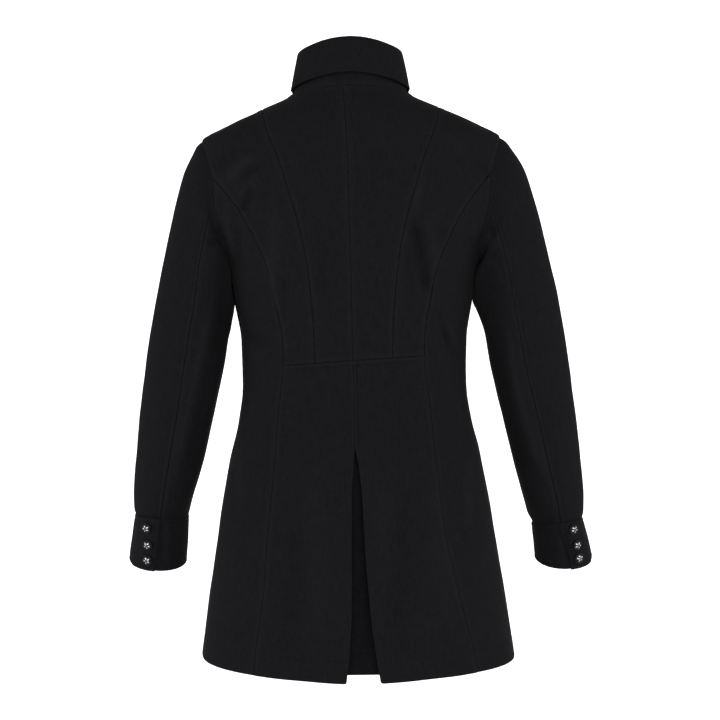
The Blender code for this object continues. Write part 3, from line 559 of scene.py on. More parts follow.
class Strand:
    """A value that runs through a material's nodes. Sums, differences and products add Math nodes."""

    def __init__(self, tree, socket=None):
        self.tree = tree
        self.socket = socket

    def node(self, kind, settings, sockets, output=0):
        """Adds a node: its settings first, then each socket's value or the strand that feeds it."""
        made = self.tree.nodes.new(kind)
        for name, value in settings.items():
            setattr(made, name, value)
        for name, value in sockets.items():
            if isinstance(value, Strand):
                self.tree.links.new(value.socket, made.inputs[name])
            else:
                made.inputs[name].default_value = value
        return Strand(self.tree, made.outputs[output])

    def maths(self, operation, first, second):
        return self.node("ShaderNodeMath", {"operation": operation}, {0: first, 1: second})

    def __add__(self, other):
        return self.maths("ADD", self, other)

    __radd__ = __add__

    def __mul__(self, other):
        return self.maths("MULTIPLY", self, other)

    __rmul__ = __mul__

    def __sub__(self, other):
        return self.maths("SUBTRACT", self, other)

    def __rsub__(self, other):
        return self.maths("SUBTRACT", other, self)

    def grain(self, grain):
        """Soft noise over the place that this strand carries, weighted by its share."""
        noise = self.node("ShaderNodeTexNoise", {}, {
            "Vector": self, "Scale": grain.scale, "Detail": grain.detail, "Roughness": grain.roughness,
        }, "Fac")
        return noise * grain.share

    def drawn_out(self, along, across):
        """The place that this strand carries, with patterns drawn out along or across the cut."""
        return self.node("ShaderNodeMapping", {}, {"Vector": self, "Scale": (across, along, 1.0)})

    def clamped(self):
        return self.node("ShaderNodeClamp", {}, {"Value": self})

    def mix(self, first, second):
        """From the first colour to the second as this strand goes from 0 to 1.

        The node has sockets of one name for each type, so those for colours go by their numbers.
        """
        values = {"Factor": self, 6: first, 7: second}
        return self.node("ShaderNodeMix", {"data_type": "RGBA"}, values, 2)


def open_material(name):
    """A new material, with the strands that it starts from: a bare one and one of places."""
    material = bpy.data.materials.new(name)
    material.use_nodes = True
    start = Strand(material.node_tree)
    return material, start, start.node("ShaderNodeTexCoord", {}, {}, "Object")


def close_material(material, colour, roughness, relief, strength, depth, plain):
    """Feeds a material's shader with its colour, roughness and fine relief, and sets its plain inputs."""
    tree = material.node_tree
    shader = tree.nodes["Principled BSDF"]
    bump = relief.node("ShaderNodeBump", {}, {"Strength": strength, "Distance": depth, "Height": relief})
    for name, strand in (("Base Color", colour), ("Roughness", roughness), ("Normal", bump)):
        tree.links.new(strand.socket, shader.inputs[name])
    for name, value in plain.items():
        shader.inputs[name].default_value = value
    return material


Grain = namedtuple("Grain", "scale detail roughness share")
FIBRES_ALONG = Grain(1500, 3, 0.6, 0.55)
FIBRES_ACROSS = Grain(1300, 3, 0.6, 0.45)
FIBRE_SHARE = 0.6
FELT = Grain(520, 4, 0.7, 0.4)
SPECKS = Grain(430, 3, 0.6, 0.5)
STREAKS = Grain(330, 2, 0.5, 0.35)
CLOUDS = Grain(80, 2, 0.5, 0.15)
FIBRE_DRAW_ALONG = 0.28
FIBRE_DRAW_ACROSS = 0.35
STREAK_DRAW = 0.16
MIDDLE_TONE = 0.5
PILE_CONTRAST = 2.0
MOTTLE_CONTRAST = 1.5
# How far the painted shading darkens or lightens the wool.
PAINTED_SHADING_CONTRAST = 0.32
WOOL_DARK = (0.0030, 0.0030, 0.0036, 1)
WOOL_LIGHT = (0.0104, 0.0104, 0.0117, 1)
WOOL_ROUGHNESS = 1.04
PILE_SMOOTHNESS = 0.22
PILE_RELIEF = 0.5
PILE_DEPTH = 0.0005
WOOL_SURFACE = {"Specular IOR Level": 0.04, "Sheen Weight": 0.01, "Sheen Roughness": 0.5}


def make_wool(name):
    """Felted wool: matted fibres that run mostly along the cut, a faint mottle, a dull nap and painted
    shading.
    """
    material, start, place = open_material(name)
    cut = start.node("ShaderNodeUVMap", {"uv_map": "cut"}, {})
    lengthwise = cut.drawn_out(FIBRE_DRAW_ALONG, 1.0)
    crosswise = cut.drawn_out(1.0, FIBRE_DRAW_ACROSS)
    fibres = lengthwise.grain(FIBRES_ALONG) + crosswise.grain(FIBRES_ACROSS)
    pile = fibres * FIBRE_SHARE + place.grain(FELT)
    mottle = place.grain(SPECKS) + cut.drawn_out(STREAK_DRAW, 1.0).grain(STREAKS) + place.grain(CLOUDS)
    # Painted shading kept on the mesh: painted shade in crease troughs and seam grooves, painted highlights
    # on ridges and seam flanks.
    wear = start.node("ShaderNodeAttribute", {"attribute_name": "wear"}, {}, "Fac")
    lighter = (pile - MIDDLE_TONE) * PILE_CONTRAST + (mottle - MIDDLE_TONE) * MOTTLE_CONTRAST
    tone = lighter + wear * PAINTED_SHADING_CONTRAST + MIDDLE_TONE
    colour = tone.clamped().mix(WOOL_DARK, WOOL_LIGHT)
    roughness = WOOL_ROUGHNESS - pile * PILE_SMOOTHNESS
    return close_material(material, colour, roughness, pile, PILE_RELIEF, PILE_DEPTH, WOOL_SURFACE)


wool = make_wool("black_felted_wool")


SIDES = {1: "left", -1: "right"}


def hang(piece, node):
    """The sewn piece stands for its solid, which is hidden, and moves with the coat."""
    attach(piece, "root")
    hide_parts(node)


def make_piece(node, points, way, edges, held, on, creases=(), painted_tone=0.0, **laid):
    """Lays out, sews and hangs one piece of cloth in place of its solid, and gives its cut."""
    cut = lay_cloth(points, way, edges, creases, **laid)
    # A piece's painted tone shifts all its painted shading: painted shade below 0, painted light above.
    cut = cut._replace(wear=cut.wear + painted_tone)
    hang(sew_shell(f"{node}_cloth", cut, way, edges), node)
    return cut


CENTRE_COLUMNS = 42
MID_COLUMNS = 30
BODICE_ROWS = 70
ARMHOLE_ROWS = 60
NECK_TO_PRINCESS_ROWS = 30
CENTRE_SEAM = Edge(0.0022, 0.0010, 0.0004, 0.0080, 0, 0, ())
CENTRE_EDGES = (CENTRE_SEAM, PRESSED_SEAM, PRESSED_SEAM, PRESSED_SEAM)
BACK_EDGES = (PRESSED_SEAM,) * 4

for side, name in SIDES.items():
    middle_x = read(CENTRE_BACK, name, WAIST_Z)
    inner_x = read(INNER_PRINCESS, name, WAIST_Z)
    outer_x = read(OUTER_PRINCESS, name, WAIST_Z)
    rows = BODICE_ROWS + ARMHOLE_ROWS
    inner = back_seam(INNER_PRINCESS, name, waist_z(inner_x, side), SHOULDER_PRINCESS_Z, rows, side)
    shoulder = shoulder_line(SHOULDER_PRINCESS_Z, 0.0, NECK_TO_PRINCESS_ROWS)
    inner[-1] = shoulder[0]
    edge = joined(inner, shoulder)
    share = (edge[:, 1] - edge[0, 1]) / (edge[-1, 1] - edge[0, 1])
    centre_z = WAIST_Z + (NECK_BACK_RISE - WAIST_Z) * share
    centre = back_places(read(CENTRE_BACK, name, centre_z), centre_z)
    neck = straight(centre[-1], edge[-1], CENTRE_COLUMNS)
    waist = waist_line(middle_x, inner_x, CENTRE_COLUMNS, side)
    centre[0], edge[0] = waist[0], waist[-1]
    cloth = on_body(patch(centre, edge, waist, neck), side)
    node = f"back_centre_{name}"
    make_piece(node, cloth, side, CENTRE_EDGES, "hung", "collar_stand", UPPER_BACK_CREASES)

    arm = armhole(ARMHOLE_PRINCESS_TURN, SHOULDER_TIP_TURN, ARMHOLE_ROWS)
    outer = back_seam(OUTER_PRINCESS, name, waist_z(outer_x, side), ARMHOLE_PRINCESS_Z, BODICE_ROWS, side)
    outer[-1] = arm[0]
    shoulder = shoulder_line(SHOULDER_PRINCESS_Z, arm[-1][1], MID_COLUMNS)
    shoulder[-1] = arm[-1]
    waist = waist_line(inner_x, outer_x, MID_COLUMNS, side)
    inner[0], outer[0] = waist[0], waist[-1]
    cloth = on_body(patch(inner, joined(outer, arm), waist, shoulder), side)
    make_piece(f"back_mid_{name}", cloth, side, BACK_EDGES, "hung", f"front_{name}", UPPER_BACK_CREASES)

# Side panels: one a side, cut in one length from the armhole to the hem, of the same wool.
# Each is sewn to the back along the outer princess seam and to the front under the arm, and its hem
# is turned up and caught down on the inside.
Hem = namedtuple("Hem", "x z")
HEM = (
    Hem(-0.220, -0.7790),
    Hem(-0.100, -0.7800),
    Hem(0.000, -0.7830),
    Hem(0.100, -0.7790),
    Hem(0.220, -0.7710),
)
SIDE_COLUMNS = 48
SKIRT_ROWS = 110
TURNED_HEM = Edge(0.0022, 0.0010, 0, 0, 0.0018, 0.030, (0.030,))
SIDE_EDGES = (PRESSED_SEAM, PRESSED_SEAM, TURNED_HEM, PRESSED_SEAM)
SIDE_CREASES = (
    Crease("back", 0.166, -0.148, 0.160, -0.229, 0.0050, 0.0026, -0.002),
    Crease("back", 0.154, -0.176, 0.152, -0.240, 0.0060, -0.0026, 0.000),
    Crease("back", -0.110, -0.296, -0.131, -0.353, 0.0040, -0.0024, 0.000),
    Crease("back", -0.120, -0.304, -0.142, -0.356, 0.0040, 0.0020, 0.000),
    Crease("back", -0.117, -0.326, -0.139, -0.369, 0.0035, -0.0020, 0.000),
    Crease("back", -0.150, -0.485, -0.146, -0.595, 0.0060, 0.0028, 0.000),
    Crease("back", 0.150, -0.320, 0.120, -0.352, 0.0055, -0.0018, 0.000),
    Crease("back", 0.148, -0.336, 0.116, -0.368, 0.0055, 0.0016, 0.000),
    Crease("back", 0.153, -0.455, 0.150, -0.560, 0.0065, 0.0024, 0.000),
    Crease("left", 0.000, -0.240, 0.000, -0.440, 0.0350, -0.0014, 0.000),
    Crease("left", 0.000, -0.240, 0.000, -0.340, 0.0300, -0.0014, 0.000),
)
STITCH_MARGIN = 0.002
CORNER_REACH = 0.010
stitch_rows = []


def row_at(away, offset, cut):
    """The points and outward directions of a cut at one distance across each of its lines."""
    values = np.concatenate([cut.outer, cut.normals], axis=-1)
    if away.shape != values.shape[:2]:
        values = values.swapaxes(0, 1)
    if away[0, 0] > away[0, -1]:
        away, values = away[:, ::-1], values[:, ::-1]
    return np.array([resampled(line, run, offset) for run, line in zip(away, values)])


def first_row(edge):
    """How far the rows that cross an edge stay from it: up to its own row, where that lies close."""
    return min((at for at in edge.stitches if at < CORNER_REACH), default=STITCH_MARGIN)


def mark_stitches(cut, edges):
    """Keeps each row of stitches along the edges of a cut, as far as the rows that it meets at corners."""
    for number, away in enumerate(from_edges(cut.run, cut.rise)):
        across = edges[2:] if number < 2 else edges[:2]
        for offset in edges[number].stitches:
            row = row_at(away if number < 2 else away.T, offset, cut)
            along = running(row[:, :3])
            start, end = first_row(across[0]), along[-1] - first_row(across[1])
            stitch_rows.append(row[(along > start) & (along < end)])


def hem_z(x, side):
    return read(HEM, "z", side * x, key="x")


def outer_seam(side):
    """The outer princess seam from the hem to the waist, and on from the waist to the armhole."""
    name = SIDES[side]
    outer_waist = waist_z(read(OUTER_PRINCESS, name, WAIST_Z), side)
    hem = hem_z(getattr(OUTER_PRINCESS[-1], name), side)
    skirt = back_seam(OUTER_PRINCESS, name, hem, outer_waist, SKIRT_ROWS, side)
    bodice = back_seam(OUTER_PRINCESS, name, outer_waist, ARMHOLE_PRINCESS_Z, BODICE_ROWS, side)
    return skirt, bodice


def side_seam(side):
    """The seam under the arm, from the hem to the armhole."""
    z = np.linspace(hem_z(BODY[-1].half_width, side), ARMHOLE_Z - ARMHOLE_HALF_HEIGHT, DENSE)
    return spaced(np.stack([0 * z + math.pi / 2, z], axis=-1), SKIRT_ROWS + BODICE_ROWS)


for side, name in SIDES.items():
    skirt, bodice = outer_seam(side)
    arm = armhole(ARMHOLE_PRINCESS_TURN, math.pi, SIDE_COLUMNS)
    edge = joined(skirt, bodice)
    edge[-1] = arm[0]
    under = side_seam(side)
    hem = straight(edge[0], under[0], SIDE_COLUMNS)
    cloth = on_body(patch(edge, under, hem, arm), side)
    cut = make_piece(f"side_panel_{name}", cloth, side, SIDE_EDGES, "hung", f"front_{name}", SIDE_CREASES)
    mark_stitches(cut, SIDE_EDGES)

# Skirt backs: one a side, sewn to the bodice at the waist with the seam turned down and topstitched.
# Each turns in at the middle for the inverted pleat and is turned up at the hem. The underlay is a
# strip of the same wool that joins the two turned edges behind the pleat.
PLEAT_EDGE = (
    Seam(-0.360, 0.0010, -0.0007),
    Seam(-0.484, 0.0002, 0.0002),
    Seam(-0.500, 0.0012, 0.0036),
    Seam(-0.526, 0.0036, 0.0068),
    Seam(-0.555, 0.0049, 0.0090),
    Seam(-0.605, 0.0052, 0.0113),
    Seam(-0.670, 0.0060, 0.0150),
    Seam(-0.720, 0.0082, 0.0202),
    Seam(-0.790, 0.0150, 0.0305),
)
PleatDepth = namedtuple("PleatDepth", "z depth spread roll")
PLEAT_DEPTH = (
    PleatDepth(-0.360, 0.007, 0.001, 0.0006),
    PleatDepth(-0.490, 0.010, 0.004, 0.0009),
    PleatDepth(-0.560, 0.015, 0.008, 0.0030),
    PleatDepth(-0.640, 0.022, 0.014, 0.0036),
    PleatDepth(-0.790, 0.034, 0.022, 0.0040),
)
FOLD_LAP = 0.0003
PLEAT_TOP_Z = -0.486
PLEAT_TOP_FADE = 0.012
FOLD_FLANK = 0.0009
FOLD_FLANK_AT = 0.0014
FOLD_STITCH = 0.0034
PLEAT_RETURN_STEPS = 12
PLEAT_ROLL_STEPS = 8
SKIRT_COLUMNS = 60
UNDERLAY_TOP_Z = -0.470
UNDERLAY_LAP = 0.004
UNDERLAY_HEM_RISE = 0.004
UNDERLAY_GAP = 0.0036
UNDERLAY_COLUMNS = 24
# The underlay is painted darker all over: painted shade for its place deep in the pleat.
UNDERLAY_PAINTED_SHADE = -0.4
STITCHED_WAIST = Edge(0.0014, 0.0007, 0.0011, 0.0062, 0, 0, (0.0062,))
LOOSE_EDGE = Edge(0.0012, 0.0004, 0, 0, 0, 0, ())
SKIRT_EDGES = (LOOSE_EDGE, PRESSED_SEAM, TURNED_HEM, STITCHED_WAIST)
UNDERLAY_EDGES = (LOOSE_EDGE, LOOSE_EDGE, TURNED_HEM, LOOSE_EDGE)
SKIRT_CREASES = (
    Crease("back", 0.079, -0.540, 0.092, -0.790, 0.0150, -0.0017, 0.004),
    Crease("back", 0.048, -0.470, 0.046, -0.760, 0.0170, 0.0015, -0.003),
    Crease("back", -0.072, -0.520, -0.050, -0.770, 0.0150, -0.0020, -0.004),
    Crease("back", -0.034, -0.490, -0.036, -0.690, 0.0150, 0.0014, 0.000),
    Crease("back", -0.100, -0.470, -0.116, -0.740, 0.0170, 0.0015, 0.003),
)


def closed_pleat(z):
    return ease((z - PLEAT_TOP_Z) / PLEAT_TOP_FADE)


def finish_fold(stitched):
    """How a folded edge is pressed above the pleat, where the two meet, and topstitched on one side."""
    def finish(away, z):
        flank = np.exp(-(((away - FOLD_FLANK_AT) / GROOVE) ** 2))
        row = stitched * np.exp(-(((away - FOLD_STITCH) / STITCH_DIP_WIDTH) ** 2))
        height = FOLD_FLANK * flank - STITCH_DIP * row
        # Painted shading: a painted highlight on the pressed flank, painted shade inside the fold and in
        # the stitches' dip.
        wear = PAINTED_FLANK_HIGHLIGHT * flank - ease(-away / GROOVE) - PAINTED_FLANK_HIGHLIGHT * row
        return height * closed_pleat(z), wear * closed_pleat(z)
    return finish


for side, name in SIDES.items():
    princess = outer_seam(side)[0][::-1]
    z_edge = np.linspace(WAIST_Z, hem_z(0.0, side), SKIRT_ROWS + 1)
    fold_x = read(PLEAT_EDGE, name, z_edge) - FOLD_LAP * closed_pleat(z_edge)
    roll = read(PLEAT_DEPTH, "roll", z_edge)
    start_x = fold_x + roll
    start = back_places(start_x, z_edge)
    waist = waist_line(start_x[0], read(OUTER_PRINCESS, name, WAIST_Z), SKIRT_COLUMNS, side)
    start[0], princess[0] = waist[0], waist[-1]
    hem = straight(start[-1], princess[-1], SKIRT_COLUMNS)
    panel = on_body(patch(start, princess, waist, hem), side, WALL) * np.array([side, 1, 1])
    panel[..., 0] = np.maximum(panel[..., 0], start_x[:, None])

    depth = read(PLEAT_DEPTH, "depth", z_edge)
    spread = read(PLEAT_DEPTH, "spread", z_edge)
    returned = []
    for part in np.linspace(1, 0, PLEAT_RETURN_STEPS + 1)[:-1]:
        inwards = roll + (depth + WALL - roll) * part
        returned.append((fold_x + spread * part, panel[:, 0, 1] - inwards))
    for turn in np.linspace(0, math.pi / 2, PLEAT_ROLL_STEPS + 1)[:-1]:
        roll_x = fold_x + roll * (1 - math.cos(turn))
        returned.append((roll_x, panel[:, 0, 1] - roll * (1 - math.sin(turn))))
    turned = np.stack([np.stack([x, back, z_edge], axis=-1) for x, back in returned], axis=1)
    whole = np.concatenate([turned, panel], axis=1)[::-1]
    whole[..., 0] *= side
    fold = {"fold": PLEAT_RETURN_STEPS + PLEAT_ROLL_STEPS, "finish": finish_fold(side < 0), "lift": 0.0}
    node, on = f"skirt_back_{name}", f"back_centre_{name}"
    cut = make_piece(node, whole, side, SKIRT_EDGES, "hung", on, SKIRT_CREASES, **fold)
    mark_stitches(cut, SKIRT_EDGES)
    if side < 0:
        row = row_at(cut.run - cut.run[:, cut.fold:cut.fold + 1], FOLD_STITCH, cut)
        stitch_rows.append(row[row[:, 2] > PLEAT_TOP_Z])

z = np.linspace(hem_z(0.0, 1) + UNDERLAY_HEM_RISE, UNDERLAY_TOP_Z, SKIRT_ROWS + 1)
depth = read(PLEAT_DEPTH, "depth", z)
spread = read(PLEAT_DEPTH, "spread", z)
left_x = read(PLEAT_EDGE, "left", z) + spread + UNDERLAY_LAP
right_x = -read(PLEAT_EDGE, "right", z) - spread - UNDERLAY_LAP
back = body_section(z)[1] - depth - 2 * WALL - UNDERLAY_GAP
x = right_x[:, None] + (left_x - right_x)[:, None] * np.linspace(0, 1, UNDERLAY_COLUMNS + 1)
grid = np.stack([x, back[:, None] + 0 * x, z[:, None] + 0 * x], axis=-1)
make_piece("pleat_underlay", grid, 1, UNDERLAY_EDGES, "hung", "skirt_back_left", painted_tone=UNDERLAY_PAINTED_SHADE)

# Fronts: one a side, from shoulder, neck and armhole to the hem, the wearer's right over the left.
# Their front edges are faced with the same wool and topstitched. The photo does not show them, so
# they are plain, with drag lines and hanging folds like those of the back.
NECK_FRONT_DROP = 0.070
FrontEdge = namedtuple("FrontEdge", "z right left")
FRONT_EDGE = (
    FrontEdge(-0.800, 0.075, 0.045),
    FrontEdge(-0.180, 0.075, 0.045),
    FrontEdge(-0.125, 0.060, 0.036),
    FrontEdge(-0.060, 0.018, 0.012),
)
UNDER_GAP = 0.0016
UNDER_STEP = WALL + UNDER_GAP
UNDER_STEP_RUN = 0.014
UNDER_STEP_EARLY = 0.2
FRONT_TOP_REACH = 6
NECK_FRONT_COLUMNS = 60
ARMHOLE_FRONT_ROWS = 90
FACED_EDGE = Edge(0.0020, 0.0010, 0, 0, 0.0012, 0.060, (0.0070,))
FRONT_EDGES = (PRESSED_SEAM, FACED_EDGE, TURNED_HEM, PRESSED_SEAM)
FRONT_CREASES = (
    Crease("front", 0.172, -0.130, 0.120, -0.085, 0.0100, 0.0031, 0.003),
    Crease("front", 0.165, -0.150, 0.110, -0.115, 0.0090, -0.0027, 0.003),
    Crease("front", -0.168, -0.135, -0.118, -0.095, 0.0110, 0.0031, -0.003),
    Crease("front", -0.160, -0.158, -0.112, -0.128, 0.0090, -0.0024, -0.002),
    Crease("front", 0.118, -0.240, 0.112, -0.345, 0.0110, -0.0034, 0.002),
    Crease("front", 0.098, -0.230, 0.096, -0.330, 0.0100, 0.0024, 0.000),
    Crease("front", -0.112, -0.225, -0.108, -0.350, 0.0110, -0.0037, -0.002),
    Crease("front", -0.130, -0.240, -0.126, -0.340, 0.0100, 0.0024, 0.000),
    Crease("front", 0.130, -0.335, 0.095, -0.372, 0.0065, 0.0020, 0.000),
    Crease("front", -0.132, -0.330, -0.092, -0.366, 0.0065, 0.0024, 0.000),
    Crease("front", 0.105, -0.480, 0.120, -0.760, 0.0180, 0.0041, 0.000),
    Crease("front", -0.100, -0.500, -0.118, -0.765, 0.0190, 0.0044, 0.000),
    Crease("front", -0.040, -0.560, -0.046, -0.760, 0.0200, -0.0027, 0.000),
)


def front_angle(x, z):
    return math.pi - back_angle(x, z)


def front_places(x, z):
    return np.stack([front_angle(x, z), z], axis=-1)


def front_neck(neck_x, turn):
    """The neck seam's front, a half oval: the turn is 0 at the shoulder seam, a quarter in the middle."""
    return front_places(neck_x * np.cos(turn), -NECK_FRONT_DROP * np.sin(turn))


for side, name in SIDES.items():
    under = side_seam(side)
    arm = armhole(math.pi, 2 * math.pi + SHOULDER_TIP_TURN, ARMHOLE_FRONT_ROWS)
    shoulder = joined(
        shoulder_line(arm[-1][1], SHOULDER_PRINCESS_Z, MID_COLUMNS),
        shoulder_line(SHOULDER_PRINCESS_Z, 0.0, NECK_TO_PRINCESS_ROWS),
    )
    shoulder[0] = arm[-1]
    neck_x = body(*shoulder[-1])[0]
    edge_top_x = read(FRONT_EDGE, name, -NECK_FRONT_DROP)
    turn = np.linspace(0, math.pi / 2 + math.asin(edge_top_x / neck_x), DENSE)
    neck = spaced(front_neck(neck_x, turn), NECK_FRONT_COLUMNS)
    neck[0] = shoulder[-1]
    top = joined(shoulder, neck)
    chest_z = np.linspace(under[-1][1], neck[-1][1], ARMHOLE_FRONT_ROWS + 1)
    edge_z = np.concatenate([under[:, 1], chest_z[1:]])
    edge = front_places(-read(FRONT_EDGE, name, edge_z), edge_z)
    edge[-1] = neck[-1]
    hem = straight(under[0], edge[0], len(top) - 1)
    grid = patch(joined(under, arm), edge, hem, top, FRONT_TOP_REACH)
    step = 0.0
    if side > 0:
        points = on_body(grid)
        covered = read(FRONT_EDGE, "right", points[..., 2]) + UNDER_STEP_RUN - points[..., 0]
        step = UNDER_STEP * ease(covered / UNDER_STEP_RUN + UNDER_STEP_EARLY)
        step = np.where(np.cos(grid[..., 0]) < 0, step, 0)
    cloth = on_body(grid, side, -step)
    cut = make_piece(f"front_{name}", cloth, side, FRONT_EDGES, "hung", f"back_mid_{name}", FRONT_CREASES)
    mark_stitches(cut, FRONT_EDGES)

# Sleeves: two-piece set-in sleeves of the same wool, upper and under, topstitched along the back seam.
# The creases are drag lines under the arm, breaks at the elbow and one long ridge beside the back
# seam, and the left sleeve is pressed a little hollow where it meets the coat's side.
SleeveRing = namedtuple("SleeveRing", "outer_x outer_z inner_x inner_z y half_depth back_drop")
SLEEVE = (
    SleeveRing(0.2065, -0.0615, 0.1735, -0.2345, 0.000, 0.0625, 0.00),
    SleeveRing(0.2128, -0.0662, 0.1790, -0.2350, 0.000, 0.0625, 0.00),
    SleeveRing(0.2195, -0.0775, 0.1810, -0.2410, 0.000, 0.0630, 0.00),
    SleeveRing(0.2335, -0.1030, 0.1650, -0.2520, 0.001, 0.0635, 0.00),
    SleeveRing(0.2470, -0.1446, 0.1560, -0.2690, 0.002, 0.0630, 0.00),
    SleeveRing(0.2575, -0.1860, 0.1580, -0.2850, 0.003, 0.0620, 0.02),
    SleeveRing(0.2655, -0.2200, 0.1655, -0.2985, 0.003, 0.0610, 0.03),
    SleeveRing(0.2800, -0.2880, 0.1768, -0.3300, 0.003, 0.0590, 0.06),
    SleeveRing(0.2916, -0.3570, 0.1847, -0.3760, 0.000, 0.0565, 0.14),
    SleeveRing(0.2995, -0.4130, 0.1966, -0.4315, -0.011, 0.0540, 0.26),
    SleeveRing(0.3073, -0.4840, 0.2118, -0.5000, -0.032, 0.0505, 0.34),
)
SLEEVE_END = {
    1: (
        SleeveRing(0.3140, -0.5520, 0.2300, -0.5600, -0.0545, 0.0465, 0.24),
        SleeveRing(0.3138, -0.5710, 0.2345, -0.5770, -0.0610, 0.0462, 0.12),
        SleeveRing(0.3108, -0.5840, 0.2378, -0.5890, -0.0645, 0.0462, 0.06),
        SleeveRing(0.3095, -0.6180, 0.2430, -0.6220, -0.0750, 0.0425, 0.06),
    ),
    -1: (
        SleeveRing(0.3140, -0.5600, 0.2290, -0.5700, -0.0560, 0.0465, 0.20),
        SleeveRing(0.3135, -0.5850, 0.2338, -0.5880, -0.0640, 0.0462, 0.06),
        SleeveRing(0.3108, -0.5980, 0.2400, -0.6020, -0.0685, 0.0462, 0.00),
        SleeveRing(0.3095, -0.6300, 0.2450, -0.6370, -0.0790, 0.0425, 0.06),
    ),
}
ArmSwing = namedtuple("ArmSwing", "z left right")
ARM_SWING = (
    ArmSwing(-0.070, -0.0005, 0.0020),
    ArmSwing(-0.105, -0.0025, 0.0045),
    ArmSwing(-0.160, -0.0040, 0.0050),
    ArmSwing(-0.250, -0.0050, 0.0050),
    ArmSwing(-0.380, -0.0035, 0.0045),
    ArmSwing(-0.480, 0.0000, 0.0075),
    ArmSwing(-0.580, 0.0030, 0.0110),
    ArmSwing(-0.650, 0.0045, 0.0155),
)
SLEEVE_SEAM_STEP = 0.0008
SLEEVE_TUCK = 0.005
ARMHOLE_RINGS = 3
ARMHOLE_FADE = 0.04
TOUCH_GAP = 0.001
TOUCH_SOFTNESS = 0.002
SLEEVE_STEPS = 12
SLEEVE_COLUMNS = 72
AtRing = namedtuple("AtRing", "ring left right")
BACK_SEAM_SHIFT = (
    AtRing(0, -0.18, 0.00),
    AtRing(1, -0.03, 0.25),
    AtRing(2, 0.10, 0.36),
    AtRing(3, 0.00, 0.21),
    AtRing(4, -0.08, 0.08),
    AtRing(5, -0.08, 0.07),
    AtRing(6, -0.01, 0.13),
    AtRing(7, 0.08, 0.21),
    AtRing(8, 0.07, 0.19),
    AtRing(9, 0.09, 0.13),
    AtRing(10, 0.06, 0.06),
    AtRing(11, 0.10, 0.00),
    AtRing(14, 0.11, 0.00),
)
INNER_HOLLOW = {1: (Crease("right", 0.000, -0.240, 0.000, -0.325, 0.0350, -0.0032, 0.000),), -1: ()}
INNER_FILL = (
    AtRing(0, 0.00, 0.00),
    AtRing(1, -0.02, 0.12),
    AtRing(2, -0.07, 0.16),
    AtRing(3, -0.12, 0.08),
    AtRing(4, -0.15, -0.06),
    AtRing(5, -0.16, -0.14),
    AtRing(6, -0.13, -0.13),
    AtRing(7, -0.05, -0.05),
    AtRing(8, 0.04, 0.04),
    AtRing(9, 0.11, 0.11),
    AtRing(10, 0.13, 0.13),
    AtRing(12, 0.02, 0.02),
    AtRing(14, 0.00, 0.00),
)
STITCHED_BACK_SEAM = Edge(0.0022, 0.0013, 0.0006, 0.0055, 0, 0, (0.0055,))
UPPER_EDGES = (PRESSED_SEAM, STITCHED_BACK_SEAM, LOOSE_EDGE, LOOSE_EDGE)
UNDER_EDGES = (PRESSED_SEAM, PRESSED_SEAM, LOOSE_EDGE, LOOSE_EDGE)
SLEEVE_CREASES = (
    Crease("back", -0.208, -0.295, -0.272, -0.560, 0.0060, 0.0030, -0.013),
    Crease("back", -0.197, -0.305, -0.256, -0.560, 0.0080, -0.0026, -0.015),
    Crease("back", 0.182, -0.240, 0.256, -0.555, 0.0060, 0.0026, 0.001),
    Crease("back", 0.167, -0.248, 0.240, -0.555, 0.0080, -0.0030, 0.001),
    Crease("back", 0.176, -0.186, 0.196, -0.215, 0.0070, -0.0015, 0.000),
    Crease("back", 0.172, -0.205, 0.206, -0.232, 0.0065, 0.0015, 0.000),
    Crease("back", -0.178, -0.180, -0.196, -0.205, 0.0060, -0.0012, 0.000),
    Crease("back", -0.176, -0.196, -0.204, -0.220, 0.0060, 0.0014, 0.000),
    Crease("back", -0.174, -0.214, -0.210, -0.240, 0.0060, -0.0012, 0.000),
    Crease("front", 0.200, -0.345, 0.262, -0.375, 0.0080, -0.0041, 0.002),
    Crease("front", 0.196, -0.372, 0.268, -0.392, 0.0080, 0.0034, 0.002),
    Crease("front", 0.206, -0.398, 0.266, -0.420, 0.0080, -0.0031, 0.000),
    Crease("front", -0.198, -0.340, -0.266, -0.364, 0.0080, -0.0037, -0.002),
    Crease("front", -0.200, -0.366, -0.272, -0.392, 0.0085, 0.0034, -0.002),
    Crease("front", -0.208, -0.400, -0.268, -0.414, 0.0080, -0.0031, 0.000),
    Crease("front", 0.196, -0.190, 0.226, -0.150, 0.0080, 0.0024, 0.000),
    Crease("front", -0.196, -0.195, -0.228, -0.150, 0.0080, 0.0024, 0.000),
)


def ring(row, turn, wall, fill=0.0):
    """A ring of a sleeve or cuff: its outer point is at turn 0 and its back at a quarter turn.

    The fill makes it fuller, or flatter below 0, between its back and its inner point beside the body.
    """
    outer = np.array([row.outer_x, 0, row.outer_z])
    inner = np.array([row.inner_x, 0, row.inner_z])
    across = (outer - inner) / 2
    across = across * (1 - wall / np.linalg.norm(across))
    along = (row.half_depth - wall) * np.array([0, 1, -row.back_drop])
    centre = (outer + inner) / 2 + np.array([0, row.y, 0])
    cos, sin = np.cos(turn), np.sin(turn)
    fuller = 1 + fill * np.where((cos < 0) & (sin > 0), np.sin(2 * turn) ** 2, 0)
    return centre + (fuller * cos)[:, None] * across + (fuller * sin)[:, None] * along


def between_rings(table, at):
    """The ring of a table at any place between its rows."""
    index = np.arange(len(table))
    return SleeveRing(*(float(smooth(index, column, at)) for column in zip(*table)))


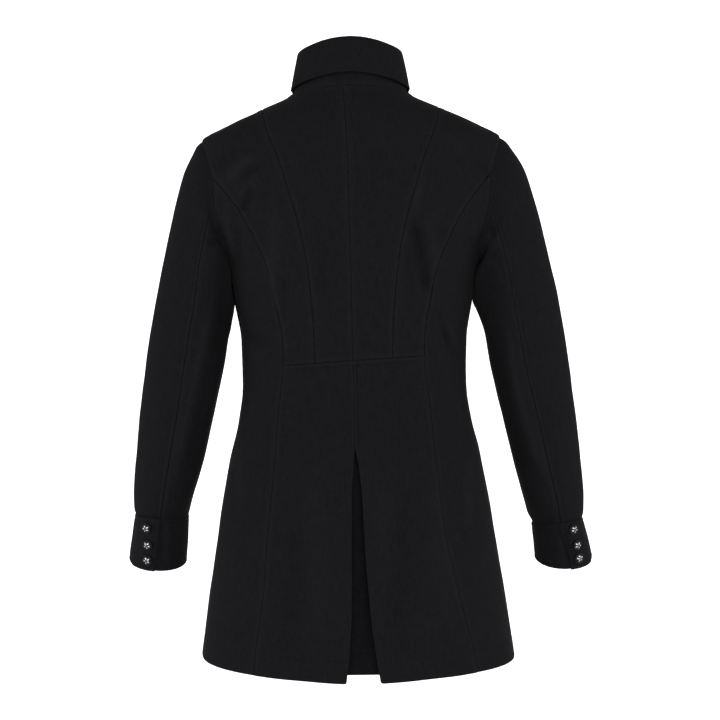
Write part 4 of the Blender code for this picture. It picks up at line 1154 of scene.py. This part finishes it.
def clear_of_body(points):
    """Sleeve points past the armhole's edge, moved out to lie just clear of the side of the body."""
    x, y, z = points[..., 0], points[..., 1], points[..., 2]
    width, back, front, fullness = body_section(z)
    reach = WALL + TOUCH_GAP
    depth = np.where(y >= 0, back, front) + reach
    limit = (width + reach) * (1 - np.clip(np.abs(y) / depth, 0, 1) ** fullness) ** (1 / fullness)
    pushed = (x + limit + np.sqrt((x - limit) ** 2 + TOUCH_SOFTNESS**2)) / 2
    oval = np.hypot(y / ARMHOLE_HALF_DEPTH, (z - ARMHOLE_Z) / ARMHOLE_HALF_HEIGHT)
    past = ease((oval - 1) / ARMHOLE_FADE)
    return np.stack([x + (pushed - x) * past, y, z], axis=-1)


def swung(points, side):
    """Sleeve points moved out or in with the arm of their side."""
    points = np.array(points)
    points[..., 0] += read(ARM_SWING, SIDES[side], points[..., 2])
    return points


def sleeve_rings(share, front, back, side):
    """Rings of a half sleeve between its seams, drawn to the armhole above and kept off the body."""
    table = SLEEVE + SLEEVE_END[side]
    rings = []
    for at in np.linspace(0, len(table) - 1, (len(table) - 1) * SLEEVE_STEPS + 1):
        shift = read(BACK_SEAM_SHIFT, SIDES[side], at, key="ring")
        fill = read(INNER_FILL, SIDES[side], at, key="ring")
        turn = front + (back + shift - front) * share
        to_hole = on_body(armhole_line(turn, SLEEVE_SEAM_STEP)) - ring(SLEEVE[0], turn, WALL)
        fade = (1 - min(at / ARMHOLE_RINGS, 1)) ** 2
        free = ring(between_rings(table, at), turn, WALL, fill)
        free = free + (1 - fade) * (swung(free, side) - free)
        rings.append(clear_of_body(free + fade * to_hole))
    tucked = rings[0] - np.array([SLEEVE_TUCK, 0, 0])
    return np.array([tucked] + rings) * np.array([side, 1, 1])


for side, name in SIDES.items():
    share = np.linspace(0, 1, SLEEVE_COLUMNS + 1)
    upper = sleeve_rings(share, -math.pi / 2, math.pi / 2, side)
    under = sleeve_rings(share, 3 * math.pi / 2, math.pi / 2, side)[:, ::-1]
    for half, grid, edges in (("upper", upper, UPPER_EDGES), ("under", under, UNDER_EDGES)):
        node, on = f"sleeve_{half}_{name}", f"side_panel_{name}"
        creases = SLEEVE_CREASES + INNER_HOLLOW[side]
        cut = make_piece(node, grid, side, edges, "hung", on, creases)
        mark_stitches(cut, edges)

# Cuffs: one band a side, of the same wool, lapped at the back of the wrist, with the lapped edge and
# the mouth turned in and topstitched. Three buttons are sewn through the lap beside its edge.
CUFF = {
    1: (
        SleeveRing(0.3125, -0.5810, 0.2360, -0.5860, -0.0640, 0.0485, 0.05),
        SleeveRing(0.3185, -0.6135, 0.2385, -0.6205, -0.0755, 0.0484, 0.14),
        SleeveRing(0.3240, -0.6460, 0.2415, -0.6550, -0.0870, 0.0486, 0.22),
    ),
    -1: (
        SleeveRing(0.3125, -0.5960, 0.2383, -0.6040, -0.0695, 0.0485, 0.00),
        SleeveRing(0.3185, -0.6240, 0.2400, -0.6300, -0.0780, 0.0484, 0.14),
        SleeveRing(0.3240, -0.6520, 0.2415, -0.6552, -0.0870, 0.0486, 0.27),
    ),
}
VentAngle = namedtuple("VentAngle", "top mouth")
CUFF_VENT = {1: VentAngle(95, 91), -1: VentAngle(94, 84)}
CUFF_LAP_ANGLE = math.radians(38)
CUFF_LAP_RAMP = math.radians(30)
CUFF_LAP_LIFT = 0.0014
CUFF_COLUMNS = 150
CUFF_ROWS = 30
CUFF_FOLD = Edge(0.0018, 0.0009, 0, 0, 0.0010, 0.012, (0.0060,))
CUFF_TOP = Edge(0.0035, 0.0012, 0, 0, 0.0004, 0.012, (0.0060,))
CUFF_EDGES = (LOOSE_EDGE, CUFF_FOLD, CUFF_TOP, CUFF_FOLD)
CUFF_CREASES = (
    Crease("back", 0.2725, -0.584, 0.2765, -0.660, 0.0034, -0.0026, 0.000),
    Crease("back", 0.2670, -0.590, 0.2700, -0.650, 0.0070, 0.0012, 0.000),
    Crease("back", 0.2560, -0.600, 0.2550, -0.650, 0.0080, -0.0010, 0.001),
    Crease("back", -0.2890, -0.600, -0.3020, -0.662, 0.0034, -0.0026, 0.000),
    Crease("back", -0.2720, -0.606, -0.2800, -0.650, 0.0070, -0.0010, 0.000),
)
ButtonPlace = namedtuple("ButtonPlace", "down angle")
CUFF_BUTTONS = {
    1: (ButtonPlace(0.17, 71), ButtonPlace(0.49, 76), ButtonPlace(0.78, 78)),
    -1: (ButtonPlace(0.14, 69), ButtonPlace(0.48, 68), ButtonPlace(0.76, 69)),
}
SMALL_TURN = 0.05
SMALL_STEP = 0.01
# The cuffs are painted lighter all over: painted light over the shade of their downward-turned cloth.
CUFF_PAINTED_LIGHT = 0.35
ButtonSeat = namedtuple("ButtonSeat", "node point outward")


def cuff_end(down, side):
    """The turn of the cuff's lapped edge at one height, which slants from the top to the mouth."""
    vent = CUFF_VENT[side]
    return math.radians(vent.top + (vent.mouth - vent.top) * down) + 2 * math.pi


def cuff_place(down, turn, side):
    """Points of the cuff's inner face at one height, with its last stretch lapped over its first."""
    end = cuff_end(down, side)
    lap = ease((turn - (end - CUFF_LAP_ANGLE - CUFF_LAP_RAMP)) / CUFF_LAP_RAMP)
    base = between_rings(CUFF[side], down * (len(CUFF[side]) - 1))
    level = ring(base, turn, WALL)
    raised = ring(base, turn, -CUFF_LAP_LIFT)
    return swung(level + (raised - level) * lap[:, None], side) * np.array([side, 1, 1])


cuff_seats = []
for side, name in SIDES.items():
    turn = np.linspace(-2 * math.pi - CUFF_LAP_ANGLE, 0, CUFF_COLUMNS + 1)
    heights = np.linspace(0, 1, CUFF_ROWS + 1)
    grid = np.array([cuff_place(down, cuff_end(down, side) + turn, side) for down in heights])
    node, on = f"cuff_{name}", f"sleeve_upper_{name}"
    cut = make_piece(node, grid, side, CUFF_EDGES, "stretched", on, CUFF_CREASES, CUFF_PAINTED_LIGHT)
    mark_stitches(cut, CUFF_EDGES)
    for number, (down, angle) in enumerate(CUFF_BUTTONS[side], start=1):
        near = math.radians(angle) + 2 * math.pi + np.array([-SMALL_TURN, 0, SMALL_TURN])
        level = cuff_place(down, near, side)
        fall = cuff_place(down + SMALL_STEP, near, side) - cuff_place(down - SMALL_STEP, near, side)
        outward = side * np.cross(fall[1], level[2] - level[0])
        outward /= np.linalg.norm(outward)
        seat = ButtonSeat(f"cuff_button_{name}_{number}", level[1] + outward * WALL, outward)
        cuff_seats.append(seat)

# Collar: a stand of the same wool sewn into the neck seam, and a fall that rolls over the stand's
# top and hangs outside it, down on to the shoulders. The fall's edge and ends are topstitched.
STAND_RISE_BACK = 0.0640
STAND_RISE_SIDE = 0.0555
STAND_RISE_FRONT = 0.043
STAND_LEAN_SIDE = 0.89
STAND_LEAN_BACK = 0.94
STAND_FRONT_GAP = 0.012
STAND_SEAM_GAP = 0.0008
STAND_FRONT_PLAY = 0.0020
STAND_SEAM_STEP = WALL + STAND_SEAM_GAP
STAND_FRONT_STEP = STAND_SEAM_STEP + WALL + STAND_FRONT_PLAY
FALL_DROP_BACK = 0.0460
FALL_DROP_SIDE = 0.0490
FALL_DROP_FRONT = 0.062
FALL_FLARE_BACK = 0.009
FALL_FLARE_SIDE = 0.0098
FALL_FLARE_FRONT = 0.016
FALL_ROLL = 0.0024
FALL_ROLL_FROM = math.radians(150)
FALL_REST_GAP = 0.0035
SHOULDER_LOW_Z = -0.2
HALVINGS = 30
COLLAR_COLUMNS = 180
STAND_ROWS = 24
FALL_ROWS = 30
FALL_ROLL_STEPS = 10
COLLAR_EDGE = Edge(0.0020, 0.0010, 0, 0, 0.0010, 0.012, (0.0068,))
STAND_EDGES = (LOOSE_EDGE, LOOSE_EDGE, PRESSED_SEAM, LOOSE_EDGE)
FALL_EDGES = (COLLAR_EDGE, COLLAR_EDGE, LOOSE_EDGE, COLLAR_EDGE)


def neck_line(columns):
    """The neck seam from the left front round the back to the right front."""
    side_angle = float(depth_angle(SHOULDER_SEAM_Y, 0.0))
    neck_x = body(side_angle, 0.0)[0]
    turn = np.linspace(math.pi / 2 - math.asin(STAND_FRONT_GAP / neck_x), 0, DENSE)
    front = front_neck(neck_x, turn)
    front[-1] = (side_angle, 0.0)
    t = np.linspace(0, 1, DENSE)
    back = np.stack([side_angle * (1 - t), NECK_BACK_RISE * t], axis=-1)
    half = on_body(joined(front, back))
    run = running(half)
    left = resampled(half, run, np.linspace(0, run[-1], columns // 2 + 1))
    right = left[::-1][1:] * np.array([-1, 1, 1])
    return np.concatenate([left, right])


def by_place(points, back, side, front):
    """A value for each point of the neck, from its values at the middle back, side and front."""
    reach = np.where(points[:, 1] > 0, points[:, 1].max(), -points[:, 1].min())
    t = np.clip(points[:, 1] / reach, -1, 1)
    return np.where(t > 0, side + (back - side) * t**2, side + (front - side) * t**2)


def body_top(x, y):
    """The height of the body's outside above a place in plan, near the neck and shoulders."""
    low = np.full(x.shape, SHOULDER_LOW_Z)
    high = np.full(x.shape, BODY[0].z)
    for _ in range(HALVINGS):
        z = (low + high) / 2
        width, back, front, fullness = body_section(z)
        depth = np.where(y >= 0, back, front)
        inside = (np.abs(x) / width) ** fullness + (np.abs(y) / depth) ** fullness < 1
        low, high = np.where(inside, z, low), np.where(inside, high, z)
    return low


seam = neck_line(COLLAR_COLUMNS)
outward = np.gradient(seam[:, :2], axis=0)
outward = np.stack([outward[:, 1], -outward[:, 0], 0 * outward[:, 0]], axis=-1)
outward /= np.linalg.norm(outward, axis=1, keepdims=True)
up = np.array([0, 0, 1])
step = by_place(seam, STAND_SEAM_STEP, STAND_SEAM_STEP, STAND_FRONT_STEP)
foot = seam - outward * step[:, None]
rise = by_place(foot, STAND_RISE_BACK, STAND_RISE_SIDE, STAND_RISE_FRONT)
top = foot * np.array([STAND_LEAN_SIDE, STAND_LEAN_BACK, 1]) + rise[:, None] * up
steps = np.linspace(0, 1, STAND_ROWS + 1)[:, None, None]
stand = (1 - steps) * foot + steps * top
make_piece("collar_stand", stand, -1, STAND_EDGES, "stretched", "back_centre_left")

flare = by_place(foot, FALL_FLARE_BACK, FALL_FLARE_SIDE, FALL_FLARE_FRONT)[:, None]
drop = by_place(foot, FALL_DROP_BACK, FALL_DROP_SIDE, FALL_DROP_FRONT)[:, None]
rows = []
for turn in np.linspace(FALL_ROLL_FROM, 0, FALL_ROLL_STEPS):
    rows.append(top + outward * (WALL / 2 + FALL_ROLL * math.cos(turn)) + up * FALL_ROLL * math.sin(turn))
rolled = rows[-1]
for t in np.linspace(0, 1, FALL_ROWS)[1:]:
    rows.append(rolled + outward * flare * t - up * drop * t)
fall = np.array(rows)
resting = body_top(fall[..., 0], fall[..., 1]) + FALL_REST_GAP
fall[..., 2] = np.maximum(fall[..., 2], resting)
cut = make_piece("collar_fall", fall, 1, FALL_EDGES, "folded", "collar_stand")
mark_stitches(cut, FALL_EDGES)

# Topstitching: black sewing thread in even rows beside the waist seam, the closed part of the pleat, the
# sleeves' back seams, the collar, the cuffs, the front edges and the hem. Each stitch lies in the
# small dip that it pulls.
STITCH_SPACING = 0.0033
STITCH_SIZE = (0.0026, 0.0006, 0.0005)
STITCH_SIDES = 5
StitchPart = namedtuple("StitchPart", "along radius height")
STITCH_PARTS = (
    StitchPart(-0.50, 0.20, -0.45),
    StitchPart(-0.36, 0.42, -0.10),
    StitchPart(0.00, 0.50, 0.10),
    StitchPart(0.36, 0.42, -0.10),
    StitchPart(0.50, 0.20, -0.45),
)
PLIES = Grain(2600, 2, 0.6, 1.0)
PLY_RELIEF = 0.4
PLY_DEPTH = 0.0001
THREAD_DARK = (0.0032, 0.0032, 0.0038, 1)
THREAD_LIGHT = (0.0055, 0.0055, 0.0061, 1)
THREAD_ROUGHNESS = 0.85
PLY_SMOOTHNESS = 0.3
THREAD_SURFACE = {"Specular IOR Level": 0.06}


def make_thread(name):
    """Black spun thread with a slight gloss, a little uneven from ply to ply."""
    material, _, place = open_material(name)
    ply = place.grain(PLIES)
    colour = ply.mix(THREAD_DARK, THREAD_LIGHT)
    roughness = THREAD_ROUGHNESS - ply * PLY_SMOOTHNESS
    return close_material(material, colour, roughness, ply, PLY_RELIEF, PLY_DEPTH, THREAD_SURFACE)


def even_turns(sides):
    return np.linspace(0, 2 * math.pi, sides, endpoint=False)


def quads_between(rings, sides):
    """The faces between rings of points that follow each other."""
    for low in range(0, (rings - 1) * sides, sides):
        high = low + sides
        for j in range(sides):
            after = (j + 1) % sides
            yield low + j, low + after, high + after, high + j


def stitch_form():
    """One stitch of length, width and height 1 that lies along X and dips in at both ends."""
    points = []
    for along, radius, height in STITCH_PARTS:
        turns = even_turns(STITCH_SIDES)
        points += [(along, radius * math.cos(a), height + radius * math.sin(a)) for a in turns]
    faces = [tuple(range(STITCH_SIDES))[::-1], tuple(range(len(points) - STITCH_SIDES, len(points)))]
    faces += quads_between(len(STITCH_PARTS), STITCH_SIDES)
    mesh = bpy.data.meshes.new("stitch_form")
    mesh.from_pydata(points, [], faces)
    mesh.shade_smooth()
    return bpy.data.objects.new("stitch_form", mesh)


def new_tree(name, inputs):
    """A Geometry Nodes tree with the given named inputs, and the strands that start from them."""
    tree = bpy.data.node_groups.new(name, "GeometryNodeTree")
    tree.interface.new_socket("Geometry", in_out="INPUT", socket_type="NodeSocketGeometry")
    for label, kind in inputs.items():
        tree.interface.new_socket(label, in_out="INPUT", socket_type="NodeSocket" + kind)
    tree.interface.new_socket("Geometry", in_out="OUTPUT", socket_type="NodeSocketGeometry")
    entry = tree.nodes.new("NodeGroupInput")
    return tree, {socket.name: Strand(tree, socket) for socket in entry.outputs if socket.name}


def close_tree(tree, instances, material):
    """Ends a tree: its instances made real and given their material."""
    real = instances.node("GeometryNodeRealizeInstances", {}, {"Geometry": instances})
    done = real.node("GeometryNodeSetMaterial", {}, {"Geometry": real, "Material": material})
    leave = tree.nodes.new("NodeGroupOutput")
    tree.links.new(done.socket, leave.inputs["Geometry"])


def grow(name, points, tree, values):
    """Runs a tree on a mesh of points, and gives the plain mesh that it makes as a piece."""
    carrier = put(name + "_points", points)
    modifier = carrier.modifiers.new(name, "NODES")
    modifier.node_group = tree
    for item in tree.interface.items_tree:
        if item.in_out == "INPUT" and item.name in values:
            modifier[item.identifier] = values[item.name]
    graph = bpy.context.evaluated_depsgraph_get()
    made = carrier.evaluated_get(graph)
    mesh = bpy.data.meshes.new_from_object(made, preserve_all_data_layers=True, depsgraph=graph)
    carrier.modifiers.remove(modifier)
    bpy.data.objects.remove(carrier)
    return put(name, mesh)


def points_facing(name, points, outward, edges=()):
    """A mesh of points, joined by the given edges, that keeps the outward direction at each."""
    mesh = bpy.data.meshes.new(name)
    mesh.from_pydata([tuple(point) for point in points], list(edges), [])
    kept = mesh.attributes.new("outward", "FLOAT_VECTOR", "POINT")
    kept.data.foreach_set("vector", np.asarray(outward, np.float32).reshape(-1))
    return mesh


def form_and_stance(start, given):
    """The strands of the form that a tree repeats, and of its stance with its top turned outward."""
    form = start.node("GeometryNodeObjectInfo", {}, {"Object": given["Form"]}, "Geometry")
    kept = {"data_type": "FLOAT_VECTOR"}
    outward = start.node("GeometryNodeInputNamedAttribute", kept, {"Name": "outward"})
    return form, start.node("FunctionNodeAlignRotationToVector", {"axis": "Z"}, {"Vector": outward})


stitching, given = new_tree("stitches_in_rows", {
    "Form": "Object", "Spacing": "Float", "Size": "Vector", "Material": "Material",
})
start = Strand(stitching)
form, upright = form_and_stance(start, given)
rows = start.node("GeometryNodeMeshToCurve", {}, {"Mesh": given["Geometry"]})
spread = start.node("GeometryNodeResampleCurve", {"mode": "LENGTH"}, {
    "Curve": rows, "Length": given["Spacing"],
})
ahead = start.node("GeometryNodeInputTangent", {}, {})
lying = start.node("FunctionNodeAlignRotationToVector", {"axis": "X", "pivot_axis": "Z"}, {
    "Rotation": upright, "Vector": ahead,
})
sewn = start.node("GeometryNodeInstanceOnPoints", {}, {
    "Points": spread, "Instance": form, "Rotation": lying, "Scale": given["Size"],
})
close_tree(stitching, sewn, given["Material"])

sewn_rows = np.concatenate(stitch_rows)
firsts = np.cumsum([0] + [len(row) for row in stitch_rows])
edges = [(i, i + 1) for low, high in zip(firsts, firsts[1:]) for i in range(low, high - 1)]
points = points_facing("stitch_rows", sewn_rows[:, :3], sewn_rows[:, 3:], edges)
stitch = stitch_form()
piece = grow("topstitching", points, stitching, {
    "Form": stitch,
    "Spacing": STITCH_SPACING,
    "Size": STITCH_SIZE,
    "Material": make_thread("black_thread"),
})
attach(piece, "root")
bpy.data.objects.remove(stitch)

# Buttons: small domed buttons of dark cast metal on the cuffs, and larger ones in two columns on the
# fronts. Each has a corded rim and a plain leaf relief, polished where it stands up, and a shank.
Turned = namedtuple("Turned", "radius height leaf cord")
BUTTON_PROFILE = (
    Turned(0.00, 1.00, 0.0, 0.0),
    Turned(0.10, 0.98, 0.2, 0.0),
    Turned(0.22, 0.95, 0.7, 0.0),
    Turned(0.34, 0.91, 1.0, 0.0),
    Turned(0.46, 0.85, 1.0, 0.0),
    Turned(0.57, 0.77, 0.8, 0.0),
    Turned(0.66, 0.67, 0.3, 0.0),
    Turned(0.72, 0.56, 0.0, 0.0),
    Turned(0.78, 0.53, 0.0, 0.3),
    Turned(0.85, 0.61, 0.0, 1.0),
    Turned(0.93, 0.61, 0.0, 1.0),
    Turned(1.00, 0.50, 0.0, 0.3),
    Turned(0.98, 0.26, 0.0, 0.0),
    Turned(0.84, 0.10, 0.0, 0.0),
    Turned(0.40, 0.06, 0.0, 0.0),
    Turned(0.30, -0.20, 0.0, 0.0),
    Turned(0.00, -0.20, 0.0, 0.0),
)
BUTTON_SIDES = 48
LEAVES = 5
LEAF_RISE = 0.17
LEAF_SHARPNESS = 1.5
LEAF_SINK = 0.4
LEAF_POLISH = 1.5
CORD_TURNS = 16
CORD_SLANT = 6
CORD_RISE = 0.05
CORD_POLISH = 0.06
FACE_LOWEST = 0.45
MERGE_DISTANCE = 0.0001
STAND_OFF = 0.16
BUTTON_SEED = 5
Button = namedtuple("Button", "diameter height")
CUFF_BUTTON = Button(0.0150, 0.0056)
FRONT_BUTTON = Button(0.0220, 0.0070)
FRONT_BUTTON_X = 0.052
FRONT_BUTTON_Z = (-0.155, -0.235, -0.315, -0.395)
GRIME = Grain(520, 3, 0.6, 1.0)
GRIME_RELIEF = 0.25
GRIME_DEPTH = 0.0002
GRIME_ROUGHNESS = 0.06
RUBBED_LEAST = 0.35
RUBBED_UNEVEN = 1.5
METAL_DARK = (0.010, 0.010, 0.011, 1)
METAL_BRIGHT = (0.62, 0.60, 0.62, 1)
METAL_ROUGHNESS = 0.46
RUBBED_SMOOTHNESS = 0.28
METAL_SURFACE = {"Metallic": 1.0}


def make_button_metal(name):
    """Dark cast metal with a patina left in the hollows and the raised relief rubbed bright."""
    material, start, place = open_material(name)
    raised = start.node("ShaderNodeAttribute", {"attribute_name": "raised"}, {}, "Fac")
    grime = place.grain(GRIME)
    rubbed = (raised * (RUBBED_LEAST + grime * RUBBED_UNEVEN)).clamped()
    colour = rubbed.mix(METAL_DARK, METAL_BRIGHT)
    roughness = METAL_ROUGHNESS - rubbed * RUBBED_SMOOTHNESS + grime * GRIME_ROUGHNESS
    return close_material(material, colour, roughness, grime, GRIME_RELIEF, GRIME_DEPTH, METAL_SURFACE)


def button_form():
    """One button of width and height 1, facing up, with how far each point is raised kept on it."""
    around = even_turns(BUTTON_SIDES)
    points = []
    raised = []
    for row in BUTTON_PROFILE:
        leaf = row.leaf * (np.abs(np.cos(around * LEAVES / 2)) ** LEAF_SHARPNESS - LEAF_SINK)
        cord = row.cord * np.sin(around * CORD_TURNS + CORD_SLANT * row.radius)
        height = row.height + LEAF_RISE * leaf + CORD_RISE * cord
        radius = row.radius / 2
        points += list(zip(radius * np.cos(around), radius * np.sin(around), height))
        polish = np.clip(LEAF_POLISH * leaf + CORD_POLISH * cord, 0, 1)
        raised += list(polish if row.height > FACE_LOWEST else 0 * around)
    faces = [(a, d, c, b) for a, b, c, d in quads_between(len(BUTTON_PROFILE), BUTTON_SIDES)]
    mesh = bpy.data.meshes.new("button_form")
    mesh.from_pydata(points, [], faces)
    kept = mesh.attributes.new("raised", "FLOAT", "POINT")
    kept.data.foreach_set("value", np.array(raised, np.float32))
    form = bmesh.new()
    form.from_mesh(mesh)
    bmesh.ops.remove_doubles(form, verts=form.verts, dist=MERGE_DISTANCE)
    bmesh.ops.dissolve_degenerate(form, edges=form.edges, dist=MERGE_DISTANCE)
    form.to_mesh(mesh)
    form.free()
    mesh.shade_smooth()
    return bpy.data.objects.new("button_form", mesh)


seating, given = new_tree("buttons_on_seats", {
    "Form": "Object", "Size": "Vector", "Spin Seed": "Int", "Material": "Material",
})
start = Strand(seating)
form, upright = form_and_stance(start, given)
turn = start.node("FunctionNodeRandomValue", {"data_type": "FLOAT"}, {
    2: 0.0, 3: 2 * math.pi, "Seed": given["Spin Seed"],
}, 1)
spin = start.node("FunctionNodeAxisAngleToRotation", {}, {"Axis": (0, 0, 1), "Angle": turn})
facing_out = start.node("FunctionNodeRotateRotation", {"rotation_space": "LOCAL"}, {
    "Rotation": upright, "Rotate By": spin,
})
seated = start.node("GeometryNodeInstanceOnPoints", {}, {
    "Points": given["Geometry"], "Instance": form, "Rotation": facing_out, "Scale": given["Size"],
})
close_tree(seating, seated, given["Material"])

front_seats = []
for column, x in (("outer", FRONT_BUTTON_X), ("inner", -FRONT_BUTTON_X)):
    for number, z in enumerate(FRONT_BUTTON_Z, start=1):
        angle = front_angle(x, z)
        ahead = body(angle + SMALL_TURN, z) - body(angle - SMALL_TURN, z)
        rise = body(angle, z + SMALL_STEP) - body(angle, z - SMALL_STEP)
        outward = np.cross(rise, ahead)
        outward /= np.linalg.norm(outward)
        seat = ButtonSeat(f"front_button_{column}_{number}", body(angle, z) + outward * WALL, outward)
        front_seats.append(seat)

button_metal = make_button_metal("dark_cast_metal")
button = button_form()
for name, seats, size in (
    ("cuff_buttons", cuff_seats, CUFF_BUTTON),
    ("front_buttons", front_seats, FRONT_BUTTON),
):
    raised = [seat.point + seat.outward * size.height * STAND_OFF for seat in seats]
    points = points_facing(name + "_seats", raised, [seat.outward for seat in seats])
    piece = grow(name, points, seating, {
        "Form": button,
        "Size": (size.diameter, size.diameter, size.height),
        "Spin Seed": BUTTON_SEED,
        "Material": button_metal,
    })
    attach(piece, "root")
    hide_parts(*(seat.node for seat in seats))
bpy.data.objects.remove(button)

# Studio: an even white room with three wide soft lights on the photo's side, a white backdrop and a pale
# floor where the wearer would stand. The camera looks at the back from chest height, as the photo does.
FLOOR_Z = -1.38
FLOOR_RADIUS = 2.0
FLOOR_SIDES = 64
BACKDROP_Y = -4.5
BACKDROP_HALF = 2.4
WHITE = (1, 1, 1, 1)
PALE_FLOOR = {"Base Color": (0.9, 0.9, 0.9, 1), "Roughness": 0.9}
WHITE_BACKDROP = {"Base Color": WHITE, "Emission Color": WHITE, "Emission Strength": 1.0}
ROOM_LIGHT = 0.3
SoftLight = namedtuple("SoftLight", "name place aim size power")
SOFT_LIGHTS = (
    SoftLight("soft_left", (2.6, 0.75, 0.1), (0, 0, -0.35), 1.5, 38),
    SoftLight("soft_right", (-2.6, 0.75, 0.1), (0, 0, -0.35), 1.5, 34),
    SoftLight("soft_front", (-0.2, 3.2, -0.2), (0, 0, -0.4), 1.6, 70),
)
CAMERA_PLACE = (-0.0083, 2.2, -0.367)
CAMERA_TURN = (math.pi / 2, math.radians(0.77), math.pi)
CAMERA_LENS = 79.1


def stage_sheet(name, corners, surface_name, surface):
    """A flat sheet of the studio, with a plain material of the given inputs."""
    mesh = bpy.data.meshes.new(name)
    mesh.from_pydata(corners, [], [tuple(range(len(corners)))])
    material = bpy.data.materials.new(surface_name)
    material.use_nodes = True
    for socket, value in surface.items():
        material.node_tree.nodes["Principled BSDF"].inputs[socket].default_value = value
    mesh.materials.append(material)
    put(name, mesh)


world = bpy.data.worlds.new("white_room")
world.use_nodes = True
world.node_tree.nodes["Background"].inputs["Color"].default_value = WHITE
world.node_tree.nodes["Background"].inputs["Strength"].default_value = ROOM_LIGHT
bpy.context.scene.world = world

turns = even_turns(FLOOR_SIDES)
rim = [(FLOOR_RADIUS * math.cos(a), FLOOR_RADIUS * math.sin(a), FLOOR_Z) for a in turns]
stage_sheet("floor", rim, "pale_floor", PALE_FLOOR)
signs = ((1, -1), (-1, -1), (-1, 1), (1, 1))
corners = [(x * BACKDROP_HALF, BACKDROP_Y, z * BACKDROP_HALF) for x, z in signs]
stage_sheet("backdrop", corners, "white_backdrop", WHITE_BACKDROP)

for soft in SOFT_LIGHTS:
    light = bpy.data.lights.new(soft.name, "AREA")
    light.energy = soft.power
    light.size = soft.size
    lamp = put(soft.name, light)
    lamp.location = soft.place
    aim = Vector(soft.aim) - Vector(soft.place)
    lamp.rotation_euler = aim.to_track_quat("-Z", "Y").to_euler()

lens = bpy.data.cameras.new("photo_camera")
lens.lens = CAMERA_LENS
camera = put("photo_camera", lens)
camera.location = CAMERA_PLACE
camera.rotation_euler = CAMERA_TURN
bpy.context.scene.camera = camera
bpy.context.scene.view_settings.view_transform = "Standard"
